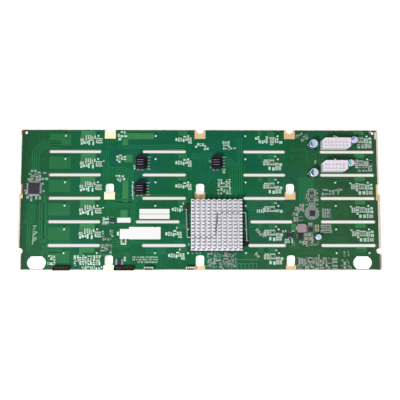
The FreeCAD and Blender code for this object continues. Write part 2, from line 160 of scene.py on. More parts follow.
def openings():
    """Boxes round the slots, notches and holes of the board."""
    boxes = []
    for x in WALLS:
        half_w, low, high = HOOK_ROOM
        for y in (MID_HOOK_Y, LOW_HOOK_Y):
            boxes.append((x - half_w, y + low, x + half_w, y + high))
        half_w, low, high = TOP_NOTCH_ROOM
        boxes.append((x - half_w, low, x + half_w, high))
    reach = SLOT_HALF_W + AIR_SLOT_ROOM
    for x0, x1, y in AIR_SLOTS:
        boxes.append((x0 - AIR_SLOT_ROOM, y - reach, x1 + AIR_SLOT_ROOM, y + reach))
    for x, half_w, low, high in END_ROOMS:
        for middle in (-x, x):
            boxes.append((middle - half_w, low, middle + half_w, high))
    return boxes


def keep_outs():
    """Boxes that no small part or via may enter."""
    standing = [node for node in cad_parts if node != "board" and box_of(node)[0].z > Z_TOP - 1]
    boxes = openings() + LABEL_BOXES + [flat_box(node, PART_ROOM) for node in standing]
    half_w, half_d = PEG_ROOM
    for middle in RECEPTACLES.values():
        for x in (middle.x - PEG_REACH, middle.x + PEG_REACH):
            boxes.append((x - half_w, middle.y - half_d, x + half_w, middle.y + half_d))
    return boxes


def inside_any(x, y, boxes, margin=0.0):
    return any(x0 - margin < x < x1 + margin and y0 - margin < y < y1 + margin for x0, y0, x1, y1 in boxes)


def meets_any(box, boxes):
    x0, y0, x1, y1 = box
    return any(x0 < b[2] and b[0] < x1 and y0 < b[3] and b[1] < y1 for b in boxes)


def crosses(start, end, boxes):
    """True where the straight run from start to end enters one of the boxes."""
    steps = max(1, int((end - start).length))
    return any(inside_any(*start.lerp(end, step / steps), boxes) for step in range(steps + 1))


# ---------------------------------------------------------------- settings
def colour_setting(name, description, red, green, blue):
    """A colour given in 0 to 255 display values and kept as a linear one."""
    display = [value / 255 for value in (red, green, blue)]
    linear = [v / 12.92 if v < 0.04 else ((v + 0.055) / 1.055) ** 2.4 for v in display]
    return bpy.props.FloatVectorProperty(
        name=name, description=description, subtype="COLOR", size=3, min=0, max=1, default=linear
    )


def length_setting(name, description, millimetres):
    return bpy.props.FloatProperty(
        name=name,
        description=description,
        unit="LENGTH",
        subtype="DISTANCE",
        min=0,
        precision=5,
        default=millimetres * MM,
    )


class BackplaneColours(bpy.types.PropertyGroup):
    mask: colour_setting("Solder mask", "Green mask over bare laminate", 2, 92, 52)
    mask_cool: colour_setting("Cool mask", "Bluer green of the mask where copper lies deep", 2, 94, 68)
    mask_left: colour_setting("Mask at left", "Warmer green towards the board's left end", 24, 85, 49)
    mask_right: colour_setting("Mask at right", "Browner green towards the board's right end", 37, 83, 50)
    pour: colour_setting("Copper pour", "Green mask over a copper pour", 36, 110, 66)
    pour_bright: colour_setting("Bright pour", "Thin mask over a copper pour", 58, 130, 80)
    trace: colour_setting("Trace", "Green mask over a trace", 34, 122, 76)
    trace_warm: colour_setting("Warm trace", "Mask over the traces at the board's right end", 48, 106, 66)
    laminate: colour_setting("Laminate", "Cut edge of the glass laminate", 176, 150, 112)
    border: colour_setting("Bare border", "Unmasked laminate along the board's edges", 236, 216, 206)
    rim: colour_setting("Slot rim", "Routed laminate round the air slots", 132, 132, 100)
    ground: colour_setting("Ground pad", "Gold-washed pad round a hook slot", 250, 240, 196)
    ground_beige: colour_setting("Beige pad", "Duller pad on the middle wall", 212, 186, 142)
    ground_olive: colour_setting("Olive pad", "Tarnished pad round the middle hook slot", 172, 146, 92)
    ground_peach: colour_setting("Peach pad", "Copper-toned pad on the right wall", 226, 190, 140)
    ground_red: colour_setting("Scorched pad", "Red-brown pad at the board's left edge", 132, 70, 62)
    solder: colour_setting("Solder", "Tinned joints, leads and terminals", 188, 218, 202)
    lead_frame: colour_setting("Lead frame", "Violet-grey leads of the packages", 184, 182, 196)
    solder_aged: colour_setting("Aged solder", "Duller joints round the regulators", 150, 164, 156)
    contact: colour_setting("Contact", "Gold-flashed contacts and pins", 214, 186, 126)
    violet: colour_setting("Violet contact", "Dull contact rows of the cable sockets", 136, 118, 146)
    ink: colour_setting("Marking ink", "Printed lines round the parts", 160, 190, 172)
    guard: colour_setting("Guard land", "Thinly covered land round the clock buffer", 116, 126, 122)
    black_moulding: colour_setting("Black moulding", "Receptacles and sockets", 22, 14, 28)
    maroon_moulding: colour_setting("Maroon moulding", "Sensor headers on the lower edge", 58, 24, 26)
    peg: colour_setting("Peg", "Moulded peg ends under the mask's gloss", 18, 54, 38)
    white_moulding: colour_setting("White moulding", "Power headers", 244, 236, 246)
    beige_moulding: colour_setting("Beige moulding", "Jumper socket at the middle", 238, 226, 220)
    grey_moulding: colour_setting("Grey moulding", "Jumper socket at the left", 196, 210, 194)
    chip: colour_setting("Chip moulding", "Epoxy packages", 52, 46, 56)
    aluminium: colour_setting("Aluminium", "Heatsink", 226, 224, 230)
    can: colour_setting("Can", "Capacitor cans", 206, 208, 226)
    wire: colour_setting("Spring wire", "Heatsink clip", 150, 158, 152)
    ferrite: colour_setting("Ferrite", "Power inductor block", 160, 142, 142)
    # this colour also paints the dark shade blocks under the heatsink's lower edge
    resistor: colour_setting("Resistor", "Glazed resistor tops", 44, 42, 46)
    ceramic: colour_setting("Ceramic", "Ceramic capacitor bodies", 186, 182, 168)
    ceramic_ash: colour_setting("Ash ceramic", "Greyer ceramic bodies round the regulators", 168, 160, 156)
    tantalum: colour_setting("Tantalum", "Moulded tantalum capacitor bodies", 176, 168, 122)
    paper: colour_setting("Label paper", "Blank stickers", 246, 246, 246)
    navy: colour_setting("Navy mark", "Polarity mark on the first can", 62, 84, 140)
    blue: colour_setting("Blue mark", "Polarity mark on the third can", 92, 118, 196)
    sky_blue: colour_setting("Light blue mark", "Polarity mark on the small can", 160, 200, 232)
    teal: colour_setting("Teal mark", "Polarity mark on the second can", 20, 124, 124)
    sea: colour_setting("Sea green mark", "Polarity mark on the fourth can", 44, 186, 178)
    floor: colour_setting("Floor", "Plain pale floor", 244, 244, 244)


class BackplaneSizes(bpy.types.PropertyGroup):
    dot_d: length_setting("Solder dot", "Diameter of the joint at each receptacle peg", 2.3)
    peg_d: length_setting("Peg end", "Diameter of each moulded peg's end", 1.9)
    dot_reach: length_setting("Dot reach", "From a receptacle's middle to its dots", 19.5)
    dot_drop: length_setting("Dot drop", "Dots lie below the receptacle's middle by this", 1.5)
    peg_rise: length_setting("Peg rise", "Peg ends lie above the receptacle's middle by this", 1.6)
    ink_w: length_setting("Ink line", "Width of a printed line", 0.3)
    ink_t: length_setting("Ink thickness", "Height of printed marks above the board", 0.03)
    copper_t: length_setting("Copper height", "Height of a covered pour above bare mask", 0.05)
    trace_w: length_setting("Trace width", "Width of a covered trace", 0.75)
    trace_pitch: length_setting("Trace pitch", "From one trace to the next in a bundle", 2.6)
    pad_t: length_setting("Pad height", "Height of a ground pad above the mask", 0.08)
    wire_d: length_setting("Clip wire", "Diameter of the heatsink clip's wire", 1.5)
    wire_bend: length_setting("Clip bend", "Radius of the clip's bends", 2.4)
    arm_offset: length_setting("Clip arm", "From the heatsink's middle to each arm", 16.0)
    border_w: length_setting("Border", "Bare laminate along the board's long edges", 1.3)


class BackplaneStage(bpy.types.PropertyGroup):
    camera_place: bpy.props.FloatVectorProperty(
        name="Camera", description="Where the camera stands", subtype="XYZ", unit="LENGTH",
        default=(-0.00845, -0.0604, 0.7),
    )
    camera_aim: bpy.props.FloatVectorProperty(
        name="Aim", description="Point that the camera looks at", subtype="XYZ", unit="LENGTH",
        default=(0.0, -0.0007, 0.0116),
    )
    lens: bpy.props.FloatProperty(
        name="Lens", description="Focal length for a 36 mm sensor", min=10, default=52.28
    )
    key_energy: bpy.props.FloatProperty(
        name="Key light", description="Strength of the soft key light in watts", min=0, default=14.8
    )
    sky: bpy.props.FloatProperty(
        name="Sky", description="Strength of the even light from all round", min=0, default=0.33
    )


# ---------------------------------------------------------------- shader maths
class Value:
    """A number, colour or vector in a node tree, on which Python arithmetic adds nodes."""

    def __init__(self, finish, socket):
        self.finish = finish
        self.socket = socket

    def maths(self, operation, *others):
        return self.finish.maths(operation, self, *others)

    def __rsub__(self, other):
        return self.finish.maths("SUBTRACT", other, self)

    __add__ = __radd__ = partialmethod(maths, "ADD")
    __sub__ = partialmethod(maths, "SUBTRACT")
    __mul__ = __rmul__ = partialmethod(maths, "MULTIPLY")
    __truediv__ = partialmethod(maths, "DIVIDE")
    __mod__ = partialmethod(maths, "FLOORED_MODULO")
    __gt__ = partialmethod(maths, "GREATER_THAN")
    __lt__ = partialmethod(maths, "LESS_THAN")
    __abs__ = partialmethod(maths, "ABSOLUTE")
    sine = partialmethod(maths, "SINE")
    greater_of = partialmethod(maths, "MAXIMUM")

    def between(self, low, high):
        """0 at low, 1 at high, and a smooth step between them."""
        settings = {"interpolation_type": "SMOOTHSTEP"}
        sockets = {"Value": self, "From Min": low, "From Max": high}
        return self.finish.node("ShaderNodeMapRange", settings, sockets)


class Finish:
    """The node tree of one procedural material, or of the world."""

    def __init__(self, owner):
        self.owner = owner
        owner.use_nodes = True
        self.tree = owner.node_tree
        self.tree.nodes.clear()
        coordinates = self.raw("ShaderNodeTexCoord").outputs
        self.place = Value(self, coordinates["Object"])
        self.facing = Value(self, coordinates["Normal"])

    def raw(self, kind, settings=None, sockets=None):
        made = self.tree.nodes.new(kind)
        for key, value in (settings or {}).items():
            setattr(made, key, value)
        for key, value in (sockets or {}).items():
            if isinstance(value, Value):
                self.tree.links.new(value.socket, made.inputs[key])
            elif isinstance(value, tuple) and len(value) == 3 and made.inputs[key].type == "RGBA":
                made.inputs[key].default_value = (*value, 1.0)
            else:
                made.inputs[key].default_value = value
        return made

    def node(self, kind, settings=None, sockets=None, output=0):
        """Adds a node: its settings first, then what its sockets hold or link to."""
        return Value(self, self.raw(kind, settings, sockets).outputs[output])

    def maths(self, operation, *values):
        return self.node("ShaderNodeMath", {"operation": operation}, dict(enumerate(values)))

    def parts_of(self, vector):
        split = self.raw("ShaderNodeSeparateXYZ", None, {0: vector})
        return [Value(self, output) for output in split.outputs]

    def position(self):
        """x, y and z in millimetres."""
        return [axis / MM for axis in self.parts_of(self.place)]

    def noise(self, size, detail=3.0, roughness=0.55, stretch=None):
        """Soft noise whose largest blobs are about size millimetres across."""
        place = self.place
        if stretch:
            place = self.node("ShaderNodeVectorMath", {"operation": "MULTIPLY"}, {0: place, 1: stretch})
        sockets = {"Vector": place, "Scale": 1 / (size * MM), "Detail": detail, "Roughness": roughness}
        return self.node("ShaderNodeTexNoise", None, sockets)

    def cells(self, size):
        """Patches of about size millimetres, each with its own random colour."""
        sockets = {"Vector": self.place, "Scale": 1 / (size * MM)}
        return self.node("ShaderNodeTexVoronoi", None, sockets, "Color")

    def mix(self, share, first, second, blend="MIX"):
        settings = {"data_type": "RGBA", "blend_type": blend}
        return self.node("ShaderNodeMix", settings, {0: share, 6: first, 7: second}, 2)

    def shade(self, colour, amount):
        """The colour made darker or lighter by amount, a value round 1."""
        grey = self.node("ShaderNodeCombineColor", None, {0: amount, 1: amount, 2: amount})
        return self.mix(1.0, colour, grey, "MULTIPLY")

    def bump(self, height, distance):
        """Relief of the given depth in millimetres where height goes from 0 to 1."""
        sockets = {"Height": height, "Distance": distance * MM, "Strength": 1.0}
        return self.node("ShaderNodeBump", None, sockets)

    def surface(self, **sockets):
        """A Principled shader; names use _ for a space."""
        named = {key.replace("_", " "): value for key, value in sockets.items()}
        return self.node("ShaderNodeBsdfPrincipled", None, named)

    def seen_ray(self):
        """1 for rays from the camera, from gloss and through glass; 0 for light."""
        path = self.raw("ShaderNodeLightPath")
        rays = ("Camera", "Glossy", "Transmission")
        camera, glossy, through = (Value(self, path.outputs[f"Is {ray} Ray"]) for ray in rays)
        return camera.greater_of(glossy).greater_of(through)

    def done(self, shader):
        kind = "World" if isinstance(self.owner, bpy.types.World) else "Material"
        self.raw(f"ShaderNodeOutput{kind}", None, {"Surface": shader})
        return self.owner


MASK_GLOSS = {"IOR": 1.5, "Specular_IOR_Level": 0.14}


def mask_green(f, colour, x, y):
    """Cloudy mask, warmer at the left, browner at the right and bluer in places."""
    colours = bpy.context.scene.backplane_colours
    cloud = f.noise(42, 3.0)
    fine = f.noise(2.2, 4.0, 0.6) + f.noise(6.5, 2.0) * 0.8 - 0.4
    left = (x * -1.0).between(60.0, 215.0) * 0.9
    cool = f.noise(70.0, 2.0).between(0.42, 0.6) * (1.0 - left)
    green = f.mix(left, colour, tuple(colours.mask_left))
    green = f.mix(cool, green, tuple(colours.mask_cool))
    green = f.shade(green, cloud * 0.5 + fine * 0.22 + 0.66)
    right = (x + y * -0.6).between(20.0, 170.0)
    green = f.mix(right, green, f.shade(tuple(colours.mask_right), cloud * 0.5 + fine * 0.22 + 0.66))
    # painted shade: the mask darkened along the board's left edge
    green = f.shade(green, 1.0 - (x * -1.0).between(198.0, 212.0) * 0.3)

    # Buried routing: parallel runs whose direction and cover change from patch to patch
    way, cover, shift = f.parts_of(f.cells(30.0))
    run = x * (way > 0.55) + y * (way < 0.3) + (x + y) * ((way > 0.3) * (way < 0.55) * 0.7)
    run = run / 2.7 + shift + f.noise(24.0, 1.0) * 0.8
    lines = 1.0 - abs((run % 1.0) - 0.5).between(0.1, 0.3)
    return f.shade(green, lines * (cover > 0.3) * (right * 0.14 + 0.18) + 0.95), fine


def with_bare_borders(f, green, x, y):
    """The mask's colour with bare laminate along the board's edges, and where it is bare."""
    colours = bpy.context.scene.backplane_colours
    border_w = bpy.context.scene.backplane_sizes.border_w / MM
    ragged = f.noise(5.0, 3.0) * 0.9 - 0.45
    foot = 1.0 - y.between(-61.4, -61.0)
    left_line = BOARD_LOW.x + 2.3 + foot * 2.2
    right_line = BOARD_HIGH.x - 2.8 + foot * 0.6
    on_left = x + ragged < left_line
    on_right = x + ragged > right_line
    on_top = y + ragged > BOARD_HIGH.y - 0.5
    on_bottom = y + ragged < BOARD_LOW.y + border_w
    bare = on_left.greater_of(on_right).greater_of(on_top).greater_of(on_bottom)
    rim = f.mix(on_bottom * 0.6, tuple(colours.border), tuple(colours.ground_peach))
    rim = f.shade(rim, f.noise(3.0, 3.0) * 0.3 + 0.82)
    corner = ((x - BOARD_LOW.x) + (BOARD_HIGH.y - y)).between(9.0, 5.5)
    tab = (x > BOARD_HIGH.x - 5.0) * (y > BOARD_HIGH.y - 11.0) * (y < BOARD_HIGH.y - 2.5)
    scorch = (x > BOARD_HIGH.x - 4.4) * (y < BOARD_LOW.y + 18.5) * bare
    rim = f.mix(scorch * 0.65, rim, tuple(colours.ground_red))
    green = f.mix(bare.greater_of(tab), green, rim)
    return f.mix(corner * 0.8, green, tuple(colours.ground_red)), bare


def mask_recipe(f, colour):
    """Solder mask over woven glass, with bare borders and the laminate's cut edges."""
    x, y, z = f.position()
    green, fine = mask_green(f, colour, x, y)
    warp = (x * 4.6 + f.noise(6.0) * 1.2).sine()
    weft = (y * 4.6 + f.noise(6.0) * 1.2).sine()
    weave = (warp * weft) * 0.5 + 0.5
    green, bare = with_bare_borders(f, f.shade(green, weave * 0.08 + 0.96), x, y)
    up = f.parts_of(f.facing)[2]
    side = 1.0 - abs(up).between(0.3, 0.7)
    plies = ((z * 26.0).sine() * 0.5 + 0.5) * f.noise(1.2, 2.0)
    edge = f.shade(tuple(bpy.context.scene.backplane_colours.laminate), plies * 0.5 + 0.6)
    base = f.mix(side, green, edge)
    rough = 0.34 + f.noise(9.0) * 0.16 + side.greater_of(bare) * 0.3
    relief = f.bump(weave * 0.5 + fine * 0.5, 0.02)
    return f.done(f.surface(Base_Color=base, Roughness=rough, Normal=relief, **MASK_GLOSS))


def covered_copper_recipe(f, colour):
    """Mask over copper: smoother and a little lighter, with faint etching."""
    cloud = f.noise(26, 3.0)
    fine = f.noise(1.6, 4.0, 0.6)
    green = f.shade(colour, cloud * 0.42 + fine * 0.2 + 0.7)
    rough = 0.28 + f.noise(7.0) * 0.16
    relief = f.bump(fine, 0.015)
    return f.done(f.surface(Base_Color=green, Roughness=rough, Normal=relief, **MASK_GLOSS))


def ground_pad_recipe(f, colour):
    """Gold-washed copper with rub marks where the carrier's hooks slide."""
    blotch = f.noise(5.0, 4.0, 0.65)
    rub = f.noise(1.0, 3.0, 0.6, (3.0, 0.35, 1.0))
    tone = f.mix(blotch.between(0.4, 0.7) * 0.5, colour, (0.72, 0.42, 0.22))
    tone = f.shade(tone, rub * 0.35 + 0.82)
    rough = 0.3 + rub * 0.3
    return f.done(f.surface(Base_Color=tone, Metallic=0.55, Roughness=rough, Normal=f.bump(rub, 0.02)))


def ink_recipe(f, colour):
    """Screened ink, a little thin and broken at its edges."""
    thin = f.noise(0.6, 4.0, 0.7)
    under = tuple(bpy.context.scene.backplane_colours.mask)
    tone = f.mix(thin.between(0.28, 0.5), under, colour)
    rough = 0.6 + thin * 0.2
    return f.done(f.surface(Base_Color=tone, Roughness=rough, Normal=f.bump(thin, 0.015)))


def heatsink_recipe(f, colour):
    """Bare extruded aluminium with die and saw grain; the pin tops are left duller, the channel floors are
    painted brighter as painted light, and the cuts between the pins are painted dark as painted shade.
    """
    x, _, z = f.position()
    low, high = box_of("heatsink")
    die = f.noise(0.5, 3.0, 0.6, (1.0, 0.03, 1.0))
    saw = f.noise(0.4, 3.0, 0.6, (0.05, 1.0, 1.0))
    cloud = f.noise(12.0, 3.0)
    deep = 1.0 - z.between(low.z + 2.6, low.z + 4.4)
    across = abs((((x - (low.x + high.x) / 2) / FIN_PITCH + 0.5) % 1.0) - 0.5) * FIN_PITCH
    in_fins = across.between(1.5, 1.9)
    channel = deep * (1.0 - in_fins)
    # painted light and shade: channel floors lightened as if lit along the channels, cuts between the pins
    # darkened as shade
    shade = die * 0.12 + cloud * 0.1 + 0.75 + channel * 0.34 + deep * in_fins * -0.34
    tone = f.shade(colour, shade)
    rough = 0.34 + die * 0.22 + saw * 0.1
    relief = f.bump(die * 0.7 + saw * 0.3, 0.03)
    return f.done(f.surface(Base_Color=tone, Metallic=0.6 - channel * 0.4, Roughness=rough, Normal=relief))


def grained(grain, tone, rough, relief=None, mottle=None, **sockets):
    """A recipe of one fine grain that moves tone, gloss and relief.

    grain and mottle are what noise takes, mottle with its strength first; tone and
    rough are the grain's strength and the level it is added to.
    """

    def recipe(f, colour):
        fine = f.noise(*grain)
        shade = fine * tone[0]
        if mottle:
            shade = shade + f.noise(*mottle[1:]) * mottle[0]
        varying = {"Base_Color": f.shade(colour, shade + tone[1]), "Roughness": fine * rough[0] + rough[1]}
        if relief:
            varying["Normal"] = f.bump(fine, relief)
        return f.done(f.surface(**varying, **sockets))

    return recipe


# Reflowed tin with a frosty grain
SOLDER = grained((0.35, 4.0, 0.65), (0.3, 0.84), (0.28, 0.26), 0.02, Metallic=0.6)
# Glass-filled plastic with faint flow lines
MOULDING = grained(
    (0.25, 4.0, 0.6), (0.24, 0.72), (0.22, 0.38), 0.02, (0.3, 3.0, 3.0, 0.5, (1.0, 0.3, 1.0)),
    IOR=1.5, Specular_IOR_Level=0.16,
)
# Epoxy with a sandy top
EPOXY = grained((0.18, 4.0, 0.7), (0.4, 0.62), (0.25, 0.5), 0.025, (0.3, 3.5, 2.0), Specular_IOR_Level=0.2)
# Drawn or plated metal with fine scuffs
SPUN_METAL = grained((0.8, 4.0, 0.65), (0.2, 0.88), (0.2, 0.22), 0.01, Metallic=0.85)
# Fired ceramic or ferrite with a chalky mottle
CERAMIC = grained((0.4, 4.0, 0.7), (0.3, 0.72), (0.3, 0.48), 0.03, (0.26, 2.6, 2.0))
# Matt sticker paper with faint fibres
PAPER = grained((0.7, 5.0, 0.7, (0.5, 1.0, 1.0)), (0.06, 0.95), (0.2, 0.6), 0.01)
# Thin coloured print on a can's top
PAINT = grained((0.9, 3.0), (0.3, 0.85), (0.2, 0.35), Metallic=0.2)

# Finishes by recipe, each with its colour setting
FINISH_GROUPS = [
    (mask_recipe, {"solder_mask": "mask"}),
    (covered_copper_recipe, {
        "covered_pour": "pour", "bright_pour": "pour_bright", "covered_trace": "trace",
        "warm_trace": "trace_warm", "guard_land": "guard",
    }),
    (ground_pad_recipe, {
        "pad_gold": "ground", "pad_beige": "ground_beige", "pad_olive": "ground_olive",
        "pad_peach": "ground_peach", "pad_scorched": "ground_red",
    }),
    (ink_recipe, {"marking_ink": "ink"}),
    (heatsink_recipe, {"bare_aluminium": "aluminium"}),
    (SOLDER, {
        "tinned_solder": "solder", "aged_solder": "solder_aged", "package_lead": "lead_frame",
        "violet_contact": "violet",
    }),
    (MOULDING, {
        "black_moulding": "black_moulding", "maroon_moulding": "maroon_moulding", "peg_moulding": "peg",
        "white_moulding": "white_moulding", "beige_moulding": "beige_moulding",
        "grey_moulding": "grey_moulding",
    }),
    (EPOXY, {"chip_epoxy": "chip", "resistor_glaze": "resistor"}),
    (SPUN_METAL, {"gold_contact": "contact", "drawn_can": "can", "spring_wire": "wire"}),
    (CERAMIC, {
        "bare_rim": "rim", "ferrite_block": "ferrite", "ceramic_body": "ceramic",
        "ash_ceramic": "ceramic_ash", "tantalum_body": "tantalum",
    }),
    (PAPER, {"sticker_paper": "paper"}),
    (PAINT, {
        "navy_print": "navy", "blue_print": "blue", "light_blue_print": "sky_blue",
        "teal_print": "teal", "sea_print": "sea",
    }),
]
RECIPES = {name: (recipe, colour) for recipe, names in FINISH_GROUPS for name, colour in names.items()}
FINISHES = {}


def finish(name):
    """The named material, made on its first use."""
    if name not in FINISHES:
        recipe, colour = RECIPES[name]
        shown = getattr(bpy.context.scene.backplane_colours, colour)
        FINISHES[name] = recipe(Finish(bpy.data.materials.new(name)), tuple(shown))
    return FINISHES[name]


# ---------------------------------------------------------------- mesh building
class Shape:
    """Closed forms in millimetres, gathered into the mesh of one piece."""

    def __init__(self):
        self.points = []
        self.faces = []
        self.finishes = []
        self.layer = 0
        self.turn = Matrix.Identity(4)

    def at(self, x=0.0, y=0.0, z=0.0, angle=0.0, flip=False):
        """Where the next forms go; flip hangs them under their level."""
        self.turn = Matrix.Translation((x, y, z)) @ Matrix.Rotation(math.radians(angle), 4, "Z")
        if flip:
            self.turn = self.turn @ Matrix.Rotation(math.pi, 4, "X")
        return self

    def _face(self, corners):
        self.faces.append(tuple(corners))
        self.finishes.append(self.layer)

    def skin(self, rings, ring_closed=False):
        """Walls through a stack of rings, capped at both ends unless the stack closes on itself."""
        base = len(self.points)
        count = len(rings[0])
        for ring in rings:
            self.points.extend(self.turn @ Vector(point) for point in ring)
        levels = len(rings)
        for level in range(levels if ring_closed else levels - 1):
            low = base + level * count
            high = base + ((level + 1) % levels) * count
            for index in range(count):
                after = (index + 1) % count
                self._face((low + index, low + after, high + after, high + index))
        if not ring_closed:
            self._face(reversed(range(base, base + count)))
            self._face(range(base + (levels - 1) * count, base + levels * count))
        return self

    def block(self, x, y, z, length, depth, height, edge=0.0):
        """A block centred on x, y that stands on z, with its top edges cut back by edge."""
        levels = [(z, 0.0), (z + height, 0.0)]
        if edge:
            levels = [(z, 0.0), (z + height - edge, 0.0), (z + height, edge)]
        rings = []
        for level, inset in levels:
            outline = rectangle(x, y, length - 2 * inset, depth - 2 * inset)
            rings.append([(px, py, level) for px, py in outline])
        return self.skin(rings)

    def plan(self, outline, z, height, edge=0.0):
        """A straight-sided plate over an outline of x, y points, counter-clockwise."""
        rings = [[(x, y, z) for x, y in outline], [(x, y, z + height) for x, y in outline]]
        if edge:
            rings[1] = [(x, y, z + height - edge) for x, y in outline]
            rings.append([(x, y, z + height) for x, y in inset_outline(outline, edge)])
        return self.skin(rings)

    def lathe(self, x, y, profile, sides=24):
        """A round form from (radius, z) points, lowest first."""
        rings = []
        for radius, z in profile:
            rings.append([(x + radius * c, y + radius * s, z) for c, s in circle(sides)])
        return self.skin(rings)

    def dome(self, x, y, radius, profile, sides):
        """A round form on the board from points of (share of the radius, height)."""
        return self.lathe(x, y, [(radius * share, Z_TOP + height) for share, height in profile], sides)

    def tube(self, path, radius, sides=12):
        """A round bar along a path of points, with rings that don't twist."""
        rings = []
        side = None
        for index, point in enumerate(path):
            ahead = path[min(index + 1, len(path) - 1)] - path[max(index - 1, 0)]
            ahead.normalize()
            side = side or ahead.orthogonal()
            side = (side - ahead * side.dot(ahead)).normalized()
            other = ahead.cross(side)
            rings.append([tuple(point + (side * c + other * s) * radius) for c, s in circle(sides)])
        return self.skin(rings)

    def profile(self, outline, width):
        """A side view of x, z points, given clockwise, drawn out along y to both sides."""
        near = [(x, -width / 2, z) for x, z in outline]
        far = [(x, width / 2, z) for x, z in outline]
        return self.skin([near, far])

    def holed_plate(self, outer, inner, z, height):
        """A plate between two rings of equally many x, y points."""
        walls = [(outer, z), (outer, z + height), (inner, z + height), (inner, z)]
        return self.skin([[(x, y, level) for x, y in ring] for ring, level in walls], ring_closed=True)

    def piece(self, name, slot, *finishes, replaces=(), smooth=None):
        """Makes the object, gives it its finishes and lets it ride on the board."""
        mesh = bpy.data.meshes.new(name)
        mesh.from_pydata([tuple(point * MM) for point in self.points], [], self.faces)
        for each in finishes:
            mesh.materials.append(finish(each))
        mesh.polygons.foreach_set("material_index", self.finishes)
        mesh.update()
        if smooth:
            mesh.polygons.foreach_set("use_smooth", [True] * len(mesh.polygons))
            mesh.set_sharp_from_angle(angle=math.radians(smooth))
        made = bpy.data.objects.new(name, mesh)
        bpy.context.scene.collection.objects.link(made)
        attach(made, BODY)
        if replaces:
            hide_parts(*replaces)
        return made


def circle(sides):
    return [(math.cos(2 * math.pi * i / sides), math.sin(2 * math.pi * i / sides)) for i in range(sides)]


def rectangle(x, y, length, depth):
    dx = length / 2
    dy = depth / 2
    return [(x - dx, y - dy), (x + dx, y - dy), (x + dx, y + dy), (x - dx, y + dy)]


def cut_corner_outline(box, cut):
    x0, y0, x1, y1 = box
    return [
        (x0 + cut, y0), (x1 - cut, y0), (x1, y0 + cut), (x1, y1 - cut),
        (x1 - cut, y1), (x0 + cut, y1), (x0, y1 - cut), (x0, y0 + cut),
    ]


def stadium(x0, x1, y, radius):
    """Outline of a round-ended slot between the end points x0 and x1."""
    low, high = x0 + SLOT_HALF_W, x1 - SLOT_HALF_W
    turns = [math.pi * (step / 8 - 0.5) for step in range(9)]
    right = [(high + radius * math.cos(a), y + radius * math.sin(a)) for a in turns]
    return right + [(low - radius * math.cos(a), y - radius * math.sin(a)) for a in turns]


def inset_outline(outline, amount):
    """The outline moved inwards by amount, corner by corner."""
    moved = []
    for index, corner in enumerate(outline):
        here = Vector(corner)
        before = (here - Vector(outline[index - 1])).normalized()
        after = (Vector(outline[(index + 1) % len(outline)]) - here).normalized()
        bisector = Vector((-before.y - after.y, before.x + after.x))
        moved.append(tuple(here + bisector * (2 * amount / max(bisector.length_squared, 0.5))))
    return moved


def offset_line(points, offset):
    """The polyline moved sideways, with mitred corners."""
    moved = []
    for index, point in enumerate(points):
        here = Vector(point)
        before = (here - Vector(points[index - 1])).normalized() if index else None
        after = (Vector(points[index + 1]) - here).normalized() if index + 1 < len(points) else None
        before = before or after
        after = after or before
        normal = Vector((-before.y - after.y, before.x + after.x))
        moved.append(here + normal * (offset * 2 / normal.length_squared))
    return moved


def lay_line(shape, points, width, z, height):
    """A raised line of one width along a polyline."""
    left = offset_line(points, width / 2)
    right = offset_line(points, -width / 2)
    for index in range(len(points) - 1):
        outline = [right[index], right[index + 1], left[index + 1], left[index]]
        shape.plan([(p.x, p.y) for p in outline], z, height)


def rounded_path(corners, radius, steps=6):
    """The corner points with an arc of steps chords at each inner corner."""
    path = [corners[0]]
    for before, corner, after in zip(corners, corners[1:], corners[2:]):
        back = (before - corner).normalized()
        on = (after - corner).normalized()
        half = back.angle(on) / 2
        reach = radius / math.tan(half)
        centre = corner + (back + on).normalized() * (radius / math.sin(half))
        start = corner + back * reach - centre
        end = corner + on * reach - centre
        for step in range(steps + 1):
            path.append(centre + start.slerp(end, step / steps))
    path.append(corners[-1])
    return path


def dress(node, *finishes):
    """Gives a CAD node its finish in place of the imported one."""
    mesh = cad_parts[node].data
    mesh.materials.clear()
    for each in finishes:
        mesh.materials.append(finish(each))


# ---------------------------------------------------------------- board surface
# Areas of copper under the mask, as x0, y0, x1, y1
POURS = [
    (-89.8, 72.4, -55, 79.6), (-92.7, 64.6, -86.2, 73), (-90.7, 44.3, -80.6, 53.6),
    (-92.2, -4.2, -85.4, 25.6), (-94.2, -22, -85.9, -12.6), (108.6, -38, 113.8, -28.8),
]
DIM_POURS = [(-185.6, -58, -182.8, 4), (118, -5.6, 136.2, 26.8)]
# Pours in the bays of each column, from the receptacle's middle
BRIGHT_BAY_POURS = {0: [(-1.3, -1, 16.4, 5), (-1.5, -5, 2.8, -1)], 1: [], 2: [], 3: [(3.4, 0.2, 15.8, 5.2)]}
DIM_BAY_POURS = {
    0: [(-38.8, -13.4, -13, 1.2)], 1: [(7.4, -1, 18.4, 4.6)],
    2: [(-5, -1, 0.4, 5), (7, -1.6, 15, 5.6)], 3: [],
}
POUR_CUT = 1.0               # corners of the large pours
BAY_POUR_CUT = 0.8
POUR_FROM_TOP = 1.6          # no pour reaches nearer to the board's upper edge

